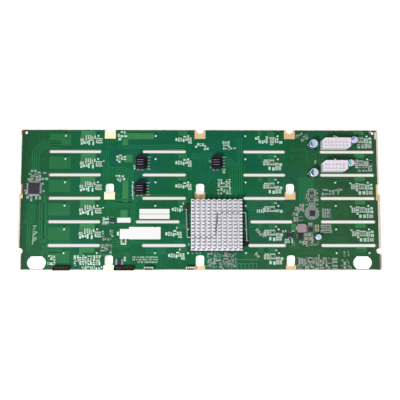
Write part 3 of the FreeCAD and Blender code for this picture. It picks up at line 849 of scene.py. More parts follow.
# Bundles of traces: how many, then the corners of the middle line
BUNDLES = [
    (4, [(-205, -60), (-205, -30), (-200, -22), (-200, -6)]),
    (4, [(-186, -4), (-186, -46), (-180, -52), (-152, -52)]),
    (4, [(-196, 34), (-196, 56), (-186, 66), (-166, 66)]),
    (3, [(-98, 62), (-60, 62), (-44, 62.6), (-18, 62.6)]),
    (4, [(-113, 34), (-90, 34), (-84, 30), (-84, 22)]), (3, [(-112, 60), (-112, 24)]),
    (2, [(-100, -2), (-76, -2), (-70, 4), (-22, 4)]), (3, [(-112, -6), (-82, -6), (-78, -10), (-78, -30)]),
    (4, [(-80, -30), (-80, -46), (-86, -52), (-104, -52)]),
    (3, [(-64, -60), (-40, -60), (-30, -52), (-20, -52)]), (2, [(-30, 20), (-16, 20), (-12, 16), (-12, 2)]),
    (3, [(-10, 52), (10, 52), (16, 46)]), (4, [(30, 50), (40, 40), (40, 4)]), (3, [(47, 74), (47, 8)]),
    (4, [(56, -8), (86, -8), (104, 10), (104, 24)]), (3, [(52, -20), (58, -20)]),
    (3, [(92, -22), (112, -2), (118, -2)]), (2, [(110, 60), (124, 60), (128, 56), (128, 44)]),
    (4, [(145, -24), (160, -24), (170, -14), (176, -14)]),
    (4, [(112, -60), (150, -60), (158, -64), (196, -64)]), (3, [(140, -52), (160, -48), (176, -48)]),
    (3, [(52, -64), (60, -70), (76, -70)]), (2, [(160, 24), (176, 24), (178, 22)]),
    (3, [(-160, -60), (-180, -60), (-186, -66)]), (3, [(-92, -54), (-66, -54), (-58, -62), (-40, -62)]),
    (3, [(-86, -62), (-86, -74), (-80, -80)]), (4, [(108, -52), (116, -58), (150, -58), (164, -52)]),
    (3, [(104, 4), (118, -4)]), (3, [(86, -12), (104, 4)]), (3, [(88, -14), (96, -22)]),
]
WARM_FROM_X = 50.0           # bundles that start right of this are browner
# Fields of plated vias: x0, y0, x1, y1 and how many
VIA_FIELDS = [
    (-112, 60, -72, 80, 46), (-112, 20, -78, 56, 60), (-112, -20, -76, 8, 46), (-112, -64, -74, -48, 30),
    (-12, 52, 48, 80, 60), (-12, 4, 48, 50, 90), (-46, -22, -14, 0, 36), (50, -22, 112, 0, 50),
    (52, -52, 112, -30, 46), (50, -82, 112, -56, 50), (108, 46, 142, 80, 40), (112, -80, 160, -54, 50),
    (142, -22, 178, 0, 40), (142, -50, 178, -28, 36), (-212, -66, -182, -6, 50), (-212, 26, -182, 80, 40),
    (-46, -80, -14, -58, 36), (-170, -80, -150, -62, 16), (52, 32, 112, 54, 46), (-70, 32, -16, 54, 46),
]
VIA_R = 0.42
VIA_GRID = 1.27
VIA_DOME = [(1, -SEAT), (1, 0.05), (0.476, 0.06)]


class BACKPLANE_OT_board(bpy.types.Operator):
    """Finishes the board and adds its covered pours, traces and vias"""

    bl_idname = "backplane.board"
    bl_label = "Board surface"

    def execute(self, context):
        sizes = context.scene.backplane_sizes
        rise = sizes.copper_t / MM
        dress("board", "solder_mask")
        self.pours("bright_pours", "bright_pour", POURS, BRIGHT_BAY_POURS, rise)
        self.pours("dim_pours", "covered_pour", DIM_POURS, DIM_BAY_POURS, rise)
        self.traces(sizes.trace_w / MM, sizes.trace_pitch / MM, rise)
        self.vias()
        return {"FINISHED"}

    def pours(self, name, look, boxes, in_bays, rise):
        shape = Shape()
        for box in boxes:
            shape.plan(cut_corner_outline(box, POUR_CUT), Z_SEAT, rise)
        for (_, column), middle in RECEPTACLES.items():
            for x0, y0, x1, y1 in in_bays[column]:
                high = min(middle.y + y1, BOARD_HIGH.y - POUR_FROM_TOP)
                box = (middle.x + x0, middle.y + y0, middle.x + x1, high)
                shape.plan(cut_corner_outline(box, BAY_POUR_CUT), Z_SEAT, rise)
        shape.piece(name, "board", look)

    def traces(self, width, pitch, rise):
        shape = Shape()
        holes = openings()
        for count, corners in BUNDLES:
            shape.layer = 1 if corners[0][0] > WARM_FROM_X else 0
            for index in range(count):
                line = offset_line(corners, (index - (count - 1) / 2) * pitch)
                for start, end in zip(line, line[1:]):
                    if not crosses(start, end, holes):
                        lay_line(shape, [start, end], width, Z_SEAT, rise)
        shape.piece("signal_traces", "board", "covered_trace", "warm_trace")

    def vias(self):
        shape = Shape()
        blocked = keep_outs()
        rng = random.Random(7)
        for x0, y0, x1, y1, count in VIA_FIELDS:
            for _ in range(count):
                x = round(rng.uniform(x0, x1) / VIA_GRID) * VIA_GRID
                y = round(rng.uniform(y0, y1) / VIA_GRID) * VIA_GRID
                if not inside_any(x, y, blocked, 0.4):
                    shape.dome(x, y, VIA_R, VIA_DOME, 8)
        shape.piece("covered_vias", "board", "bright_pour")


# ---------------------------------------------------------------- ground pads
PAD_FINISHES = ("pad_gold", "pad_beige", "pad_peach", "pad_scorched", "pad_olive")
GOLD, BEIGE, PEACH, SCORCHED, OLIVE = range(5)
# Finishes of the upper, middle and lower pad on each wall between bay columns
WALL_PAD_LOOKS = [(GOLD, GOLD, GOLD), (BEIGE, OLIVE, BEIGE), (PEACH, PEACH, PEACH)]
# Each pad's lower and upper edge and half width, then the bottom, half width and
# corner radius of the slot that it holds
WALL_PADS = [
    (73, 83.95, 6.5, 78.95, 4.55, 4.55),
    (-0.1, 8.9, 6.3, MID_HOOK_Y - 6.4, 4.95, 2.85),
    (-83.95, -78, 6, LOW_HOOK_Y - 6.4, 4.95, 2.85),
]
# Pads at the side notches: side, then y of both ends and the look of each stretch
SIDE_PADS = [(-1, 0.8, 5.4, BEIGE), (-1, 5.4, 18, SCORCHED), (1, -1, 4.4, BEIGE), (1, 4.4, 18, PEACH)]
SIDE_PAD_W = 4.6
NOTCH_FOOT_Y = 5.9           # the side notch starts here, and the pad is narrower beside it
# How far the pads end from the board's side: beside the notch, under it, and elsewhere
NOTCH_EDGE = 2.65
FOOT_EDGE = 0.2
PLAIN_EDGE = 0.15
RIM_W = 0.55                 # bare laminate round the air slots


def cradle(x, low, high, half_w, slot_bottom, slot_half_w, slot_r):
    """Outline of a pad that holds the rounded lower end of a slot."""
    centre = slot_bottom + slot_r
    lift = max(centre - high, 0.0)
    first = math.asin(min(lift / slot_r, 1.0))
    bend = []
    for step in range(9):
        angle = first + (math.pi / 2 - first) * step / 8
        bend.append((slot_half_w - slot_r + slot_r * math.cos(angle), centre - slot_r * math.sin(angle)))
    right = [(half_w, low), (half_w, high)] + ([] if lift else [(slot_half_w, high)]) + bend
    left = [(-px, py) for px, py in reversed(right)]
    return [(x + px, py) for px, py in right + left]


class BACKPLANE_OT_ground_pads(bpy.types.Operator):
    """Adds the gold-washed ground pads round the hook slots and notches"""

    bl_idname = "backplane.ground_pads"
    bl_label = "Ground pads"

    def execute(self, context):
        height = context.scene.backplane_sizes.pad_t / MM
        pads = Shape()
        for x, looks in zip(WALLS, WALL_PAD_LOOKS):
            for look, pad in zip(looks, WALL_PADS):
                pads.layer = look
                pads.plan(cradle(x, *pad), Z_SEAT, height)
        for side, first, last, look in SIDE_PADS:
            pads.layer = look
            inner = side * (BOARD_HIGH.x - SIDE_PAD_W)
            outer = side * (BOARD_HIGH.x - PLAIN_EDGE)
            if last > NOTCH_FOOT_Y:
                foot_outer = side * (BOARD_HIGH.x - FOOT_EDGE)
                self.stretch(pads, inner, foot_outer, first, NOTCH_FOOT_Y, height)
                first = NOTCH_FOOT_Y
                outer = side * (BOARD_HIGH.x - NOTCH_EDGE)
            self.stretch(pads, inner, outer, first, last, height)
        pads.piece("ground_pads", "tinned_pin", *PAD_FINISHES)
        rims = Shape()
        for x0, x1, y in AIR_SLOTS:
            outer = stadium(x0, x1, y, SLOT_HALF_W + RIM_W)
            rims.holed_plate(outer, stadium(x0, x1, y, SLOT_HALF_W + 0.05), Z_SEAT, height / 2)
        rims.piece("slot_rims", "board", "bare_rim")
        return {"FINISHED"}

    def stretch(self, pads, inner, outer, first, last, height):
        """One straight length of a pad along a side edge."""
        length = abs(outer - inner)
        pads.block((inner + outer) / 2, (first + last) / 2, Z_SEAT, length, last - first, height)


# ---------------------------------------------------------------- receptacles
# Soldered joint and moulded peg end: shares of the radius, and heights
JOINT_DOME = [(1.12, -SEAT), (1, 0.12), (0.72, 0.42), (0.3, 0.56)]
PEG_DOME = [(1.15, -SEAT), (1.15, 0.04), (1, 0.3), (0.7, 0.42)]
CONTACT_PITCH = 1.1
CONTACT_SIZE = (0.5, 0.22, 5.2)
CONTACT_OUT = 0.86           # from the receptacle's middle line to each row
CONTACT_Z = 1.0
CONTACTS = 29
KEY_CONTACTS = (7, 15)       # left out beside the key


class BACKPLANE_OT_receptacles(bpy.types.Operator):
    """Finishes the drive receptacles and adds their contacts, pegs and joints"""

    bl_idname = "backplane.receptacles"
    bl_label = "Drive receptacles"

    def execute(self, context):
        sizes = context.scene.backplane_sizes
        dots = Shape()
        pegs = Shape()
        contacts = Shape()
        for (row, column), middle in RECEPTACLES.items():
            dress(receptacle_name(row, column), "black_moulding")
            for side in (-1, 1):
                x = middle.x + side * sizes.dot_reach / MM
                y = middle.y - sizes.dot_drop / MM
                if not inside_any(x, y, COVERED):
                    dots.dome(x, y, sizes.dot_d / MM / 2, JOINT_DOME, 14)
                y = middle.y + sizes.peg_rise / MM
                if not inside_any(x, y, COVERED):
                    pegs.dome(x, y, sizes.peg_d / MM / 2, PEG_DOME, 12)
            for index in range(CONTACTS):
                if index in KEY_CONTACTS:
                    continue
                x = middle.x + (index - CONTACTS // 2) * CONTACT_PITCH
                for side in (-1, 1):
                    contacts.block(x, middle.y + side * CONTACT_OUT, CONTACT_Z, *CONTACT_SIZE)
        dots.piece("peg_joints", "tinned_pin", "tinned_solder", smooth=50)
        pegs.piece("peg_ends", "receptacle_black", "peg_moulding", smooth=40)
        contacts.piece("receptacle_contacts", "tinned_pin", "gold_contact")
        return {"FINISHED"}


# ---------------------------------------------------------------- heatsink
class BACKPLANE_OT_heatsink(bpy.types.Operator):
    """Finishes the heatsink and the chip under it"""

    bl_idname = "backplane.heatsink"
    bl_label = "Heatsink"

    def execute(self, context):
        dress("heatsink", "bare_aluminium")
        dress("expander_chip", "chip_epoxy")
        return {"FINISHED"}


class BACKPLANE_OT_wire_clip(bpy.types.Operator):
    """Bends the heatsink's spring wire and finishes its two anchors"""

    bl_idname = "backplane.wire_clip"
    bl_label = "Wire clip"

    def execute(self, context):
        sizes = context.scene.backplane_sizes
        low, high = box_of("heatsink_clip")
        middle = middle_of("heatsink")
        radius = sizes.wire_d / MM / 2
        arm = sizes.arm_offset / MM
        leg = (high.x - low.x) / 2 - radius
        z = high.z - radius
        y_end = (high.y - low.y) / 2 - 0.05
        half = [(0, arm, z), (leg, arm, z), (leg, -y_end, low.z + radius)]
        other = [(-x, -y, level) for x, y, level in reversed(half)]
        corners = [Vector((middle.x + x, middle.y + y, level)) for x, y, level in other + half]
        wire = Shape().tube(rounded_path(corners, sizes.wire_bend / MM), radius, 14)
        wire.piece("wire_clip", "clip_wire", "spring_wire", replaces=["heatsink_clip"], smooth=40)
        for side, look in (("left", "peg_moulding"), ("right", "black_moulding")):
            dress(f"clip_anchor_{side}", look)
            dress(f"anchor_loop_{side}", "spring_wire")
        return {"FINISHED"}


# ---------------------------------------------------------------- sockets
SOCKET_HALF_W = 5.2
SOCKET_PITCH = 0.82
SOCKET_CONTACTS = 9          # in each row
# Rows of contacts: y from the socket's middle, depth below its top, width
CONTACT_ROWS = ((2.8, 1.25, 0.95), (0, 0.02, 0.6), (-2.8, 1.25, 0.95))
# Soldered tails right of each socket: y from its middle, length
RIGHT_TAILS = [(-7.2, 4.4), (-3.6, 3.2), (0, 3.2), (3.6, 3.2), (7.2, 4.4)]
# The rest: x from the socket's left side, y from its middle, length, width
OTHER_TAILS = ((-0.9, -5.2, 1.6, 1.3), (-0.8, 1.6, 1.2, 1.1), (2.2, -8, 3.2, 1.3), (7, -8.2, 2.6, 1.2))


class BACKPLANE_OT_cable_sockets(bpy.types.Operator):
    """Finishes the cable sockets and adds their contacts and soldered tails"""

    bl_idname = "backplane.cable_sockets"
    bl_label = "Cable sockets"

    def execute(self, context):
        contacts = Shape()
        tails = Shape()
        for index in (1, 2, 3):
            node = f"cable_socket_{index}"
            dress(node, "black_moulding")
            low, high = box_of(node)
            x = low.x + SOCKET_HALF_W
            y = (low.y + high.y) / 2
            for row_y, level, wide in CONTACT_ROWS:
                for count in range(SOCKET_CONTACTS):
                    contact_x = x + (count - SOCKET_CONTACTS // 2) * SOCKET_PITCH
                    contacts.block(contact_x, y + row_y, high.z - level, 0.7, wide, 0.12, 0.04)
            for bar_y, long in RIGHT_TAILS:
                tails.block(high.x + long / 2 - 0.4, y + bar_y, Z_SEAT, long, 1.2, 0.35, 0.12)
            for bar_x, bar_y, long, wide in OTHER_TAILS:
                tails.block(low.x + bar_x, y + bar_y, Z_SEAT, long, wide, 0.3, 0.1)
        contacts.piece("socket_contacts", "tinned_pin", "violet_contact")
        tails.piece("socket_tails", "tinned_pin", "aged_solder")
        return {"FINISHED"}


PIN_HALF = 0.55
SLEEVE_SIDE = 3.2
SLEEVE_BORE = 1.44


class BACKPLANE_OT_power_headers(bpy.types.Operator):
    """Finishes the two power headers and their pins"""

    bl_idname = "backplane.power_headers"
    bl_label = "Power headers"

    def execute(self, context):
        sleeves = Shape()
        for index in (1, 2):
            dress(f"power_header_{index}", "white_moulding")
            dress(f"power_pins_{index}", "drawn_can")
            low, high = box_of(f"power_pins_{index}")
            top = box_of(f"power_header_{index}")[1].z
            columns = round((high.x - low.x) / HEADER_PITCH) + 1
            for column in range(columns):
                x = low.x + PIN_HALF + column * HEADER_PITCH
                for y in (low.y + PIN_HALF, high.y - PIN_HALF):
                    outer = rectangle(x, y, SLEEVE_SIDE, SLEEVE_SIDE)
                    inner = rectangle(x, y, SLEEVE_BORE, SLEEVE_BORE)
                    sleeves.holed_plate(outer, inner, low.z + 0.05, top - 1.1 - low.z)
        sleeves.piece("terminal_sleeves", "header_white", "white_moulding")
        return {"FINISHED"}


EDGE_HEADER_LOOKS = {
    "sensor_header_1": "maroon_moulding",
    "sensor_header_2": "maroon_moulding",
    "jumper_socket_1": "grey_moulding",
    "jumper_socket_2": "beige_moulding",
}
EDGE_PIN_PITCH = 2.0
EDGE_PIN_OUT = 0.9           # from the header's middle line to each row
EDGE_END_ROOM = 2.4


class BACKPLANE_OT_edge_headers(bpy.types.Operator):
    """Finishes the low headers along the lower edge and adds their pins"""

    bl_idname = "backplane.edge_headers"
    bl_label = "Edge headers"

    def execute(self, context):
        pins = Shape()
        for node, look in EDGE_HEADER_LOOKS.items():
            dress(node, look)
            low, high = box_of(node)
            middle = (low + high) / 2
            count = int((high.x - low.x - EDGE_END_ROOM) / EDGE_PIN_PITCH)
            for index in range(count):
                x = middle.x + (index - (count - 1) / 2) * EDGE_PIN_PITCH
                for side in (-EDGE_PIN_OUT, EDGE_PIN_OUT):
                    pins.block(x, middle.y + side, low.z + 1.4, 0.5, 0.5, 3.2, 0.12)
        pins.piece("edge_header_pins", "tinned_pin", "gold_contact")
        return {"FINISHED"}


# ---------------------------------------------------------------- capacitors
FOOT_T = 1.2
FOOT_CUT = 1.6
FOOT_MARGIN = 0.15           # square foot outside the can, each side
# The can's side and rolled rim: how far in from its radius, and height above the
# foot or depth below the top
CAN_WAIST = [(0.25, 0), (0, 0.3), (0, 1.1), (0.35, 1.45), (0.35, 1.75), (0, 2.1)]
CAN_RIM = [(0, 0.55), (0.16, 0.18), (0.5, 0), (0.75, 0), (0.85, 0.12)]
# Printed marks on the can tops: first and last angle of each chord, and its finish
CAN_MARKS = {
    "can_capacitor_1": [(76, 292, "light_blue_print"), (132, 256, "navy_print")],
    "can_capacitor_2": [(98, 262, "teal_print")],
    "can_capacitor_3": [(62, 206, "blue_print")],
    "can_capacitor_4": [(98, 262, "sea_print")],
    "small_can_capacitor": [(102, 292, "light_blue_print")],
}
MARK_STEPS = 20


class BACKPLANE_OT_can_capacitors(bpy.types.Operator):
    """Builds the round can capacitors with rolled rims, marks and feet"""

    bl_idname = "backplane.can_capacitors"
    bl_label = "Can capacitors"

    def execute(self, context):
        for node, marks in CAN_MARKS.items():
            self.can(node, marks)
        return {"FINISHED"}

    def can(self, node, marks):
        low, high = box_of(node)
        x, y, _ = (low + high) / 2
        half = (high.x - low.x) / 2
        radius = half - FOOT_MARGIN
        base = low.z + FOOT_T
        can = Shape()
        can.layer = 1
        cut = half - FOOT_CUT
        foot = [(-cut, -half), (half, -half), (half, half), (-cut, half), (-half, cut), (-half, -cut)]
        foot = [(x + px, y + py) for px, py in foot]
        can.plan(foot, low.z, FOOT_T, 0.25)
        can.layer = 0
        side = [(radius - inset, base + height) for inset, height in CAN_WAIST]
        side += [(radius - inset, high.z - depth) for inset, depth in CAN_RIM]
        can.lathe(x, y, side, 48)
        can.layer = 2
        for tab_x in (x - half - 0.25, x + half + 0.25):
            can.block(tab_x, y, low.z, 0.9, 0.9, 0.3, 0.08)
        reach = radius - 0.9
        for index, (first, last, _) in enumerate(marks):
            can.layer = 3 + index
            arc = []
            for step in range(MARK_STEPS + 1):
                turn = math.radians(first + (last - first) * step / MARK_STEPS)
                arc.append((x + reach * math.cos(turn), y + reach * math.sin(turn)))
            can.plan(arc, high.z - 0.14, 0.06 + 0.01 * index)
        looks = ["drawn_can", "black_moulding", "tinned_solder"] + [look for _, _, look in marks]
        name = node.replace("_capacitor", "") + "_body"
        can.piece(name, "can_aluminium", *looks, replaces=[node], smooth=35)


# ---------------------------------------------------------------- chips
# Leads of each package: pitch, counts on the +X, +Y, -X and -Y sides, reach, width
PACKAGE_LEADS = {
    "enclosure_controller": (0.8, (16, 16, 16, 16), 1.9, 0.46),
    "clock_buffer": (0.5, (12, 12, 12, 12), 1.0, 0.24),
    "flash_memory": (1.27, (0, 4, 0, 4), 1.3, 0.42),
    "level_shifter": (0.8, (8, 0, 8, 0), 2.0, 0.44),
    "regulator_chip_2": (1.27, (0, 4, 0, 4), 1.0, 0.42),
    "regulator_chip_3": (1.27, (4, 0, 4, 0), 1.0, 0.42),
    "regulator_chip_1": (0.8, (6, 6, 6, 6), 0.4, 0.3),
}
UNMARKED = "regulator_chip_3"
# Rings of small lands round the clock buffer: radius and length
LAND_RINGS = ((5.0, 1.1), (6.6, 1.1), (8.2, 1.2))
LAND_STEP = 15
RING_SHIFT = (-0.4, 0.6)     # the rings' middle from the chip's
GUARD_REACH = (9.2, 8.6)     # half width and depth of the plain land inside the rings
GUARD_BORE = 4.4


def gull_lead(shape, reach, height, width):
    """One bent lead that leaves a package at half its height and lands on the board."""
    t = 0.16
    half = height * 0.5
    outline = [
        (-0.1, half + t), (reach * 0.35, half + t), (reach * 0.62, t + 0.06), (reach, t),
        (reach, 0.0), (reach * 0.5, 0.0), (reach * 0.24, half), (-0.1, half),
    ]
    shape.profile(outline, width)


def leads_round(shape, node, pitch, counts, reach, width):
    """Rows of leads on the four sides of a package."""
    low, high = box_of(node)
    x, y, _ = (low + high) / 2
    half = ((high.x - low.x) / 2 - 0.12, (high.y - low.y) / 2 - 0.12)
    for side, count in enumerate(counts):
        out = half[side % 2]
        turn = math.radians(side * 90.0)
        for index in range(count):
            along = (index - (count - 1) / 2) * pitch
            px = x + out * math.cos(turn) - along * math.sin(turn)
            py = y + out * math.sin(turn) + along * math.cos(turn)
            shape.at(px, py, Z_TOP, side * 90.0)
            gull_lead(shape, reach, high.z - Z_TOP, width)
    shape.at()


class BACKPLANE_OT_chips(bpy.types.Operator):
    """Finishes the packages and adds their leads, pin marks and the inductor's tabs"""

    bl_idname = "backplane.chips"
    bl_label = "Chips"

    def execute(self, context):
        leads = Shape()
        marks = Shape()
        for node, rows in PACKAGE_LEADS.items():
            leads_round(leads, node, *rows)
            dress(node, "chip_epoxy")
            low, high = box_of(node)
            r = min(0.6, (high.x - low.x) * 0.05 + 0.1)
            if node != UNMARKED:
                spot = [(r, high.z - SEAT), (r, high.z + 0.02), (r * 0.7, high.z + 0.03)]
                marks.lathe(low.x + 3.2 * r, high.y - 3.2 * r, spot, 12)
        dress("power_inductor", "ferrite_block")
        low, high = box_of("power_inductor")
        for x in (low.x - 0.3, high.x + 0.3):
            leads.block(x, (low.y + high.y) / 2, Z_SEAT, 1.4, 4.0, 0.4, 0.12)
        self.clock_lands()
        leads.piece("package_leads", "tinned_pin", "package_lead")
        marks.piece("pin_marks", "chip_package", "resistor_glaze")
        return {"FINISHED"}

    def clock_lands(self):
        """The land and the rings of small joints round the clock buffer."""
        chip = middle_of("clock_buffer")
        x, y = chip.x + RING_SHIFT[0], chip.y + RING_SHIFT[1]
        outer = [(x + GUARD_REACH[0] * c, y + GUARD_REACH[1] * s) for c, s in circle(8)]
        inner = [(chip.x + GUARD_BORE * c, chip.y + GUARD_BORE * s) for c, s in circle(8)]
        Shape().holed_plate(outer, inner, Z_SEAT, 0.06).piece("guard_land", "header_white", "guard_land")
        lands = Shape()
        for radius, depth in LAND_RINGS:
            for index in range(360 // LAND_STEP):
                angle = index * LAND_STEP + radius * 7.0
                turn = math.radians(angle)
                if index % 6 != int(radius) % 6:
                    lands.at(x + radius * math.cos(turn), y + radius * 0.92 * math.sin(turn), Z_TOP, angle)
                    lands.block(0, 0, -SEAT, depth, radius * 0.2, 0.3, 0.1)
        lands.piece("clock_lands", "tinned_pin", "aged_solder")


# ---------------------------------------------------------------- small parts
# Small parts of one bay in each column, from the receptacle's middle: x, y,
# length, depth, kind and turn. Kinds: g ceramic, t tantalum, d dark resistor,
# m soldered land, w bright soldered land.
FIRST_COLUMN = [
    (0.2, -6.6, 4.2, 3.9, "g"), (-0.4, -10.9, 2.4, 3.4, "m"), (2.8, -9.9, 3.1, 2.9, "m"),
    (6.1, -9.6, 1.8, 3.2, "m"), (5.1, -4, 1.9, 6.1, "g"), (7.9, -3.2, 1.9, 4.4, "g"),
    (10.6, -4.1, 1.9, 6.3, "g"), (13, -4.9, 1.7, 4.9, "g", 12), (15.4, -3.2, 1.7, 4.4, "m", 12),
    (8.5, -9.7, 2.1, 6.3, "m"), (13.3, -10.7, 2.1, 4.9, "m"), (20.8, -5, 7.1, 1.7, "g"),
    (21.4, -7.4, 4.5, 1.7, "g"), (21.4, -9.9, 5.9, 1.9, "g"), (17.4, -8.5, 1.4, 4.4, "m"),
    (21, -2.3, 5.2, 1.7, "m"), (26.2, -3.9, 1.9, 1.5, "m"),
]
SECOND_COLUMN = [
    (5.3, -5.9, 2.4, 3.9, "m"), (8.3, -5.8, 2.1, 4.6, "g"), (11, -5.9, 1.9, 3.9, "g"),
    (13.8, -6.9, 2.1, 4.4, "m"), (15.3, -2.5, 3.8, 1.9, "m"), (16.3, -6.2, 1.4, 2.9, "m"),
    (18.9, -5.3, 2.8, 3.6, "g"), (22.1, -5.3, 2.6, 3.6, "g"), (20.3, -9.3, 1.9, 2.9, "m"),
    (22.7, -9.3, 1.9, 2.9, "g"), (17.8, 1.3, 1.7, 2.4, "g"),
]
THIRD_COLUMN_TOP = [
    (-6.6, -4.4, 2.6, 3.2, "m"), (-3.7, -3.8, 2.4, 4.4, "g"), (-2.1, -8.4, 3.1, 3.9, "m"),
    (1.3, -8.9, 1.9, 4.4, "m"), (3.6, -7.9, 1.7, 3.4, "m"), (6.3, -5.9, 2.8, 8.2, "g"),
    (12.3, -3.6, 6.4, 1.7, "g"), (11.2, -7.6, 2.1, 4.9, "g"), (13.8, -7.6, 2.1, 4.9, "g"),
    (16.8, -6.8, 2.1, 5.6, "g"), (19.3, -6.8, 1.9, 5.6, "g"), (22.8, -4, 3.6, 3.4, "m"),
    (23.1, -9.1, 4.3, 2.9, "m"), (12.1, -11.6, 3.6, 1.7, "g"),
]
THIRD_COLUMN = [
    (5.3, -2.8, 5.2, 1.7, "g"), (3, -6.4, 2.8, 4.6, "g"), (6.8, -6.4, 3.3, 4.6, "g"),
    (12, -2.8, 6.2, 1.7, "g"), (12.1, -5.2, 5, 1.7, "d"), (10.7, -7.8, 3.1, 1.9, "g"),
    (14.5, -7.8, 3.1, 1.9, "g"), (18.1, -3.9, 4.3, 2.4, "g"), (18.3, -7.4, 4, 3.2, "g"),
    (22.8, -3.9, 3.6, 2.4, "m"), (22.8, -8.1, 3.6, 3.2, "m"), (9.3, -12.6, 2.6, 4.4, "w"),
    (13.9, -13.3, 2.8, 4.4, "w"), (17.7, -12.3, 2.8, 5.1, "g"), (21.5, -12.3, 2.8, 5.1, "g"),
    (16.3, 1.8, 2.4, 1.7, "g"),
]
LAST_COLUMN = [
    (-1.5, -2.5, 3.1, 1.5, "m", -20), (0.2, -6.6, 1.9, 5.6, "g"), (2.8, -6.6, 1.9, 5.6, "g"),
    (6.3, -3, 3.6, 1.9, "g"), (6.2, -6.2, 3.3, 2.9, "g"), (6.2, -10.1, 2.8, 3.4, "g"),
    (11.9, -3.9, 6.6, 1.7, "g"), (11.9, -6.3, 5.2, 1.7, "d"), (11.9, -8.7, 6.2, 1.7, "g"),
    (16.8, -7, 2.4, 5.6, "g"), (19.6, -7, 2.1, 5.6, "g"), (23.1, -4.4, 3.6, 2.7, "m"),
    (23.3, -8.7, 3.8, 3.2, "m"), (9.6, -13.9, 3.1, 4.4, "w"), (14.4, -13.9, 3.1, 4.4, "w"),
    (18.1, -13.5, 2.1, 4.9, "g"), (22.5, -13.8, 4.3, 4.1, "g"),
]
BAY_PARTS = [FIRST_COLUMN, SECOND_COLUMN, THIRD_COLUMN, LAST_COLUMN]
BARE_BAYS = [(5, 0), (5, 3)]
SHORT_BAY = (3, 2)           # its parts further down than this give way to a slot
SHORT_BAY_DEPTH = -11.0
# Bays beside the heatsink, where the group stands further left
GROUP_SHIFTS = {(3, 1): (-4, 0), (4, 1): (-11.5, -1), (5, 1): (-8, 1.5)}
